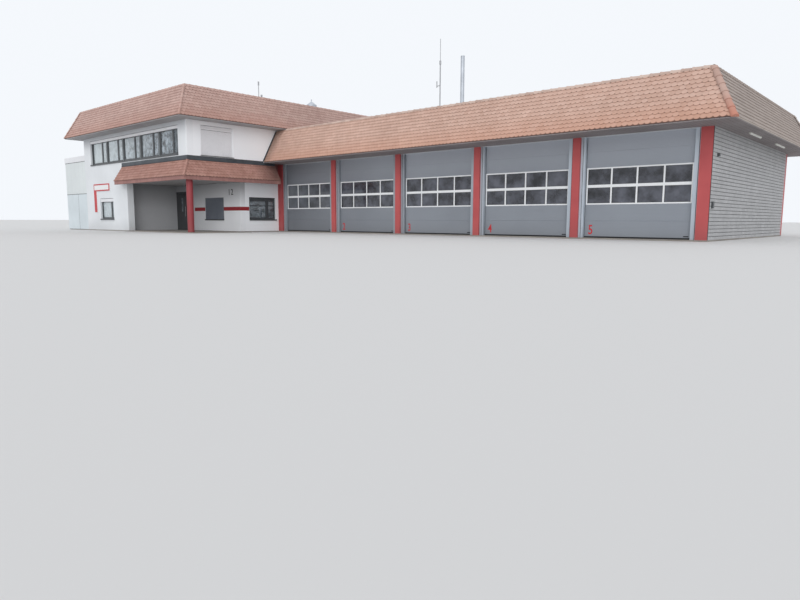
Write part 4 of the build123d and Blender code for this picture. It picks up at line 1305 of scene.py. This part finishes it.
@dataclass
class DoorFitter:
    """Adds gaskets, beads, seals, numbers, joints and labels to the sectional doors."""

    station: Station
    face: float = HALL_FRONT + 0.21
    jamb: float = 0.18
    jamb_face: float = HALL_FRONT + 0.08
    gasket: float = 0.012
    gasket_inset: float = 0.010
    grid_inset: float = 0.215
    rails: tuple[Pair, ...] = ((1.285, 1.320), (1.905, 1.990), (2.575, 2.610))
    half_bead: float = 0.018
    raised: float = 0.008
    low: float = 0.006
    seal_top: float = 0.105
    seal: float = 0.015
    panes: int = 4
    figure: float = 0.348
    figure_place: Pair = (0.352, 0.176)
    figure_squeeze: float = 0.80
    joint: float = 0.016
    joint_insets: Pair = (0.085, 0.050)
    label_insets: Pair = (0.43, 0.26)
    label_span: Pair = (0.135, 0.170)

    def gaskets(self) -> None:
        """Adds a thin dark gasket round each pane of the door windows."""
        bm = bmesh.new()
        for low, high in islands(self.station.nodes["door_glazing"]):
            size = high - low
            bars(bm, wall_frame(Side.FRONT, low.x, self.face, low.z), (size.x, size.z),
                 self.gasket, (self.face - low.y, -self.gasket_inset))
        self.station.solid("door_gaskets", bm, RUBBER, "dark_metal")

    def beads(self) -> None:
        """Adds raised white beads that round off the window grid's members."""
        bm = bmesh.new()
        (_, bottom), (under, over), (top, _) = self.rails
        for left, right in BAYS:
            x0, x1 = left + self.grid_inset, right - self.grid_inset
            for z0, z1 in self.rails:
                box(bm, (x0, self.face - self.raised, z0), (x1, self.face, z1))
            for column in range(self.panes + 1):
                step = (x1 - x0 - 2 * self.half_bead) / self.panes
                x = x0 + column * step
                for z0, z1 in ((bottom, under), (over, top)):
                    box(bm, (x, self.face - self.low, z0),
                        (x + 2 * self.half_bead, self.face, z1))
        self.station.solid("door_beads", bm, DOOR_WHITE, "white_frame", 0.002)

    def seals(self) -> None:
        """Adds black seals under each door and along its edges, beside the jambs."""
        bm = bmesh.new()
        for left, right in BAYS:
            x0, x1 = left + self.jamb, right - self.jamb
            box(bm, (x0, self.face - self.raised, FLOOR), (x1, self.face, self.seal_top))
            for x in (x0, x1 - self.seal):
                box(bm, (x, self.face - self.low, self.seal_top),
                    (x + self.seal, self.face, HALL_TOP))
        self.station.solid("door_seals", bm, RUBBER, "dark_metal", 0.002)

    def numbers(self) -> None:
        """Adds plain red numbers at the lower left of the second to the fifth door."""
        right, up = self.figure_place
        for number, (left, _) in enumerate(BAYS[1:], 2):
            self.station.figures(f"door_number_{number}", str(number),
                                 Vector((left + right, self.face, up)), self.figure, SIGN_RED,
                                 "red_masonry", self.figure_squeeze)

    def jamb_joints(self) -> None:
        """Adds a dark joint down each steel jamb, between its two sheets."""
        bm, face, (first, last) = bmesh.new(), self.jamb_face, self.joint_insets
        for left, right in BAYS:
            for x in (left + first, right - last):
                box(bm, (x, face - 0.002, FLOOR), (x + self.joint, face, HALL_TOP))
        self.station.solid("jamb_joints", bm, RUBBER, "dark_metal")

    def labels(self) -> None:
        """Adds small bare plates at the lower right of the doors."""
        bm, (first, last), (low, high) = bmesh.new(), self.label_insets, self.label_span
        for _, right in BAYS:
            box(bm, (right - first, self.face - 0.003, low), (right - last, self.face, high))
        self.station.solid("door_labels", bm, RUBBER, "dark_metal")

    def work(self) -> None:
        """Adds all door details."""
        self.gaskets()
        self.beads()
        self.seals()
        self.numbers()
        self.jamb_joints()
        self.labels()


@dataclass
class WindowFitter:
    """Adds sashes, boxes, sills and shutters to the wing's windows."""

    station: Station
    ground_box: float = 0.20
    upper_box: float = 0.16
    band_units: int = 5
    rail: float = 0.022
    sash: float = 0.024
    transom: Pair = (0.66, 0.70)
    lift: float = 0.002
    unit_gap: float = 0.008
    guide: float = 0.034
    slat: float = 0.052
    slat_depth: float = 0.026
    shutter_rail: float = 0.05
    upper_head: float = 0.21
    upper_gap: float = 0.014
    blind_slats: int = 13
    blind_pitch: float = 0.034

    @staticmethod
    def boxless(low: Vector) -> bool:
        """True for the two ground-floor openings beside the porch, whose boxes don't show."""
        return low.z < 2.0 and low.x > -15.2 and low.y < 0

    @staticmethod
    def local(low: Vector, high: Vector) -> tuple[Matrix, float, float]:
        """The place of an opening.

        Args:
            low: The lowest corner of what closes it.
            high: The highest corner.

        Returns:
            A frame on its outer face, its width and its height.
        """
        if high.x - low.x > high.y - low.y:
            side, corner = ((Side.FRONT, (low.x, low.y)) if low.y < 0
                            else (Side.REAR, (high.x, high.y)))
        else:
            side, corner = ((Side.LEFT, (low.x, high.y)) if low.x < -20
                            else (Side.RIGHT, (high.x, low.y)))
        return wall_frame(side, *corner, low.z), abs((high - low).dot(side.along)), high.z - low.z

    def sashes(self) -> None:
        """Adds a dark sash with rounded edges round each pane."""
        bm, rail = bmesh.new(), self.rail
        for low, high in islands(self.station.nodes["window_glass"]):
            place, width, height = self.local(low, high)
            if self.boxless(low):
                height += self.ground_box - 0.02
            bars(bm, place, (width, height), rail, (0.0, self.sash))
            if self.boxless(low):
                box(bm, (rail, self.transom[0], 0.0), (width - rail, self.transom[1], self.sash),
                    place)
        self.station.solid("window_sashes", bm, DARK_FRAME, "dark_metal", 0.004)

    def boxes(self) -> None:
        """Adds white shutter boxes over the windows, with a joint at each unit of a band."""
        white, guides = bmesh.new(), bmesh.new()
        for low, high in islands(self.station.nodes["window_frames"]):
            if self.boxless(low):
                continue
            place, width, height = self.local(low, high)
            drop = self.upper_box if low.z > STOREY else self.ground_box
            units = self.band_units if width > 5 else 1
            for unit in range(units):
                x0 = width * unit / units + self.unit_gap
                x1 = width * (unit + 1) / units - self.unit_gap
                box(white, (x0, height - drop, self.lift), (x1, height - self.rail, 0.10), place)
                for x in (x0, x1 - self.guide):
                    box(guides, (x, 0.0, self.lift), (x + self.guide, height - drop, 0.03), place)
        self.station.solid("shutter_boxes", white, WHITE_PAINT, "white_frame", 0.006)
        self.station.solid("shutter_guides", guides, GUIDE_GREY, "dark_metal", 0.004)

    def shutters(self) -> None:
        """Adds slatted shutters in place of the plain closed ones."""
        pieces, shift = [], Matrix.Translation((0.002, 0.0, -0.028))
        for number, (low, high) in enumerate(islands(self.station.nodes["roller_shutters"]), 1):
            place, width, height = self.local(low, high)
            upper = low.z > STOREY
            finish = SHUTTER_WHITE if upper else SHUTTER_GREY
            head, gap = (self.upper_head, self.upper_gap) if upper else (0.0, 0.0)
            rows = round((height - head) / self.slat)
            unit = slat_unit(width - 0.004, self.slat, self.slat_depth)
            pieces.append(self.station.repeated(f"shutter_{number}", unit, place @ shift,
                                                Grid(1, rows, width, self.slat), finish,
                                                "shutter"))
            bm = bmesh.new()
            box(bm, (0.002, rows * self.slat + gap, -0.028), (width - 0.002, height - gap, -0.004),
                place)
            for x in (0.0, width - self.shutter_rail):
                box(bm, (x, 0.0, -0.006), (x + self.shutter_rail, height, 0.012), place)
            self.station.solid(f"shutter_rail_{number}", bm, finish, "shutter", 0.003)
            if upper:
                sill = bmesh.new()
                box(sill, (-0.03, -0.03, -0.02), (width + 0.03, 0.0, 0.07), place)
                self.station.solid(f"shutter_sill_{number}", sill, DARK_FRAME, "dark_metal", 0.003)
        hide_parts("roller_shutters")

    def blinds(self) -> None:
        """Adds half-lowered pale blinds behind the hall-side window and over its upper part."""
        bm = bmesh.new()
        for low, high in islands(self.station.nodes["window_glass"]):
            if not self.boxless(low):
                continue
            place, width, height = self.local(low, high)
            for i in range(self.blind_slats):
                z = height - 0.03 - i * self.blind_pitch
                box(bm, (0.01, z - 0.004, -0.05), (width - 0.01, z + 0.020, -0.04), place)
            for i in range(self.band_units):
                z = height + 0.012 + i * self.blind_pitch
                box(bm, (0.032, z, 0.012), (width - 0.032, z + 0.026, 0.020), place)
        self.station.solid("window_blinds", bm, BLIND, "white_frame")

    def work(self) -> None:
        """Adds all window details."""
        self.sashes()
        self.boxes()
        self.shutters()
        self.blinds()


@dataclass
class Trimmer:
    """Adds the flashing, stripe, sign bands, the annex's joints and painted shadow line, lamps and
    house number.
    """

    station: Station
    stripe_span: Pair = (1.165, 1.37)
    lift: float = 0.002
    sign_left: float = WING_LEFT + 1.18
    sign_face: float = WING_FRONT - 0.04
    sign_width: float = 2.19
    sign_span: Pair = (2.34, 2.76)
    sign_foot: float = 1.10
    sign_post: float = 0.36
    band: float = 0.07
    skin: float = 0.004
    annex_front: float = -11.58
    annex_left: float = -26.28
    annex_rear: float = -5.52
    annex_joint: float = -24.49
    annex_skin: float = 0.006
    panel_joint: Pair = (2.235, 2.265)
    fascia_joint: Pair = (4.225, 4.25)
    lamp: Pair = (0.035, 0.018)

    def side_flashing(self) -> None:
        """Adds a grey strip where the hall's front slope meets the wing's upper side wall."""
        run, bm = HALL_RUNS[0], bmesh.new()
        place, end = HALL_SLOPE.frame(run.corner, run.side), HALL_SLOPE.end - 0.01
        box(bm, (0.001, 0.02, 0.0), (0.035, end, 0.008), place)
        box(bm, (0.001, 0.02, 0.008), (0.010, end, 0.05), place)
        self.station.solid("side_flashing", bm, FLASHING, "dark_metal", 0.002)

    def stripe(self) -> None:
        """Adds the red stripe along the porch's rear wall and round the corner."""
        bm, lift, (low, high) = bmesh.new(), self.lift, self.stripe_span
        for x0, x1 in ((-16.15, -15.0), (-13.07, HALL_LEFT + lift)):
            box(bm, (x0, RECESS_REAR - lift, low), (x1, RECESS_REAR, high))
        box(bm, (HALL_LEFT, RECESS_REAR, low), (HALL_LEFT + lift, -7.72, high))
        self.station.solid("red_stripe", bm, STRIPE_RED, "red_masonry")

    def sign(self) -> None:
        """Adds red bands round the bare white bar of the L-shaped sign, and its red upright."""
        bm, band, width, (low, high) = bmesh.new(), self.band, self.sign_width, self.sign_span
        for x0, x1, z0, z1 in ((0, self.sign_post, self.sign_foot, low),
                               (0, width, low, low + band), (0, width, high - band, high),
                               (0, band, low + band, high - band),
                               (width - 2 * band, width, low + band, high - band)):
            box(bm, (self.sign_left + x0, self.sign_face - self.skin, z0),
                (self.sign_left + x1, self.sign_face, z1))
        self.station.solid("sign_bands", bm, SIGN_RED, "red_masonry")

    def annex(self) -> None:
        """Adds the annex's dark lines: painted shadow under the fascia, a joint between cladding
        and panels, and an upright joint.
        """
        front, left, rear = self.annex_front, self.annex_left, self.annex_rear
        joint, skin, bm = self.annex_joint, self.annex_skin, bmesh.new()
        (low, high), (under, over) = self.panel_joint, self.fascia_joint
        for x0, x1 in ((left - skin, joint - 0.05), (joint + 0.05, WING_LEFT)):
            box(bm, (x0, front - skin, low), (x1, front + 0.03, high))
        box(bm, (left - skin, front, low), (left + 0.03, rear, high))
        # A dark band under the fascia: painted shadow of the fascia.
        box(bm, (left - skin, front - skin, under), (WING_LEFT, front, over))
        box(bm, (left - skin, front, under), (left, rear, over))
        box(bm, (joint - 0.008, front - 0.003, FLOOR), (joint + 0.008, front, low))
        self.station.solid("annex_joints", bm, DARK_FRAME, "dark_metal")

    def lights(self) -> None:
        """Adds slim lamps with rounded covers under the side eaves."""
        bm, (wide, slim) = bmesh.new(), self.lamp
        for low, high in islands(self.station.nodes["soffit_lights"]):
            middle = frame_of(Vector(((low.x + high.x) / 2, 0, 0)), Side.RIGHT.along,
                              Side.RIGHT.inward)
            outline = [(-wide, high.z), (-wide, low.z + 0.03), (-slim, low.z), (slim, low.z),
                       (wide, low.z + 0.03), (wide, high.z)]
            prism(bm, middle, outline, low.y, high.y)
        piece = self.station.solid("eaves_lamps", bm, LAMP, "lamp", 0.004)
        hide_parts("soffit_lights")

    def work(self) -> None:
        """Adds all trim."""
        self.side_flashing()
        self.lights()
        self.stripe()
        self.sign()
        self.annex()
        self.station.figures("house_number", "12", Vector((-12.52, RECESS_REAR, 2.02)), 0.32,
                             NUMBER_DARK, "dark_metal")


@dataclass
class Studio:
    """The floor, the light and the camera at the photograph's view."""

    yaw: float = 0.7291163
    pitch: float = 0.1285172
    roll: float = -0.0033076
    eye: Triple = (17.5568, -27.7657, 0.6846)
    focal: float = 619.222
    picture_width: float = 800
    sensor: float = 36.0
    reach: float = 400
    floor_colour: Colour = (0.74, 0.73, 0.72)
    sky_colour: Colour = (0.93, 0.96, 1.0)
    sky_lit: float = 0.78
    sky_seen: float = 0.98
    sun: float = 1.3
    sun_width: float = 60
    sun_turn: Triple = (70, 0, 36)

    def camera(self) -> None:
        """Adds a camera fitted to the photograph."""
        ahead = Vector((-math.sin(self.yaw), math.cos(self.yaw), 0))
        right = Vector((math.cos(self.yaw), math.sin(self.yaw), 0))
        down = Vector((0, 0, -1))
        forward = ahead * math.cos(self.pitch) + down * math.sin(self.pitch)
        below = down * math.cos(self.pitch) - ahead * math.sin(self.pitch)
        rolled = right * math.cos(self.roll) + below * math.sin(self.roll)
        data = bpy.data.cameras.new("camera")
        data.sensor_width, data.clip_end = self.sensor, 500
        data.lens = self.focal / self.picture_width * self.sensor
        camera = added("camera", data)
        matrix = Matrix((rolled, rolled.cross(forward), -forward)).transposed().to_4x4()
        matrix.translation = Vector(self.eye)
        camera.matrix_world = matrix
        bpy.context.scene.camera = camera

    def floor(self) -> None:
        """Adds a wide pale floor."""
        ends = ((-1, -1), (1, -1), (1, 1), (-1, 1))
        mesh = mesh_of("floor", [(x * self.reach, y * self.reach, -0.001) for x, y in ends],
                       [(0, 1, 2, 3)])
        material = bpy.data.materials.new("floor")
        material.use_nodes = True
        sockets = material.node_tree.nodes["Principled BSDF"].inputs
        sockets["Base Color"].default_value = (*self.floor_colour, 1)
        sockets["Roughness"].default_value = 0.9
        mesh.materials.append(material)
        added("floor", mesh)

    def light(self) -> None:
        """Adds an even pale sky and a broad soft lamp from the front right."""
        scene = bpy.context.scene
        scene.world = bpy.data.worlds.new("world")
        scene.world.use_nodes = True
        g = Graph(scene.world.node_tree)
        path = g.node("ShaderNodeLightPath").outputs
        seen = g.maths("MAXIMUM", path["Is Camera Ray"], path["Is Glossy Ray"])
        seen = g.maths("MAXIMUM", seen, path["Is Transmission Ray"])
        sockets = g.tree.nodes["Background"].inputs
        sockets["Color"].default_value = (*self.sky_colour, 1)
        g.tree.links.new(g.ramp(seen, 0.0, 1.0, self.sky_lit, self.sky_seen), sockets["Strength"])
        data = bpy.data.lights.new("key", "SUN")
        data.energy, data.angle = self.sun, math.radians(self.sun_width)
        added("key", data).rotation_euler = [math.radians(turn) for turn in self.sun_turn]
        scene.view_settings.view_transform = "Standard"

    def build(self) -> None:
        """Sets up the whole studio."""
        self.camera()
        self.floor()
        self.light()


def main() -> None:
    """Loads the frame, dresses it and adds every piece."""
    logging.basicConfig(level=logging.INFO)
    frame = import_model()
    station = Station(frame["nodes"])
    for finish, nodes in DRESS.items():
        for node in nodes.split():
            station.cover(node, station.paint(finish))
    station.cover("door_glazing", station.paint.glass(DOOR_PANE, 0.88, 1.5))
    station.cover("window_glass", station.paint.glass(WINDOW_PANE, 0.78, 1.9, 0.5))
    station.cover("entrance_door_pane", station.paint.glass(ENTRANCE_PANE, 0.92, 1.5))
    for crew in (Roofer, Mason, DoorFitter, WindowFitter, Trimmer):
        crew(station).work()
    Studio().build()


if __name__ == "__main__":
    main()
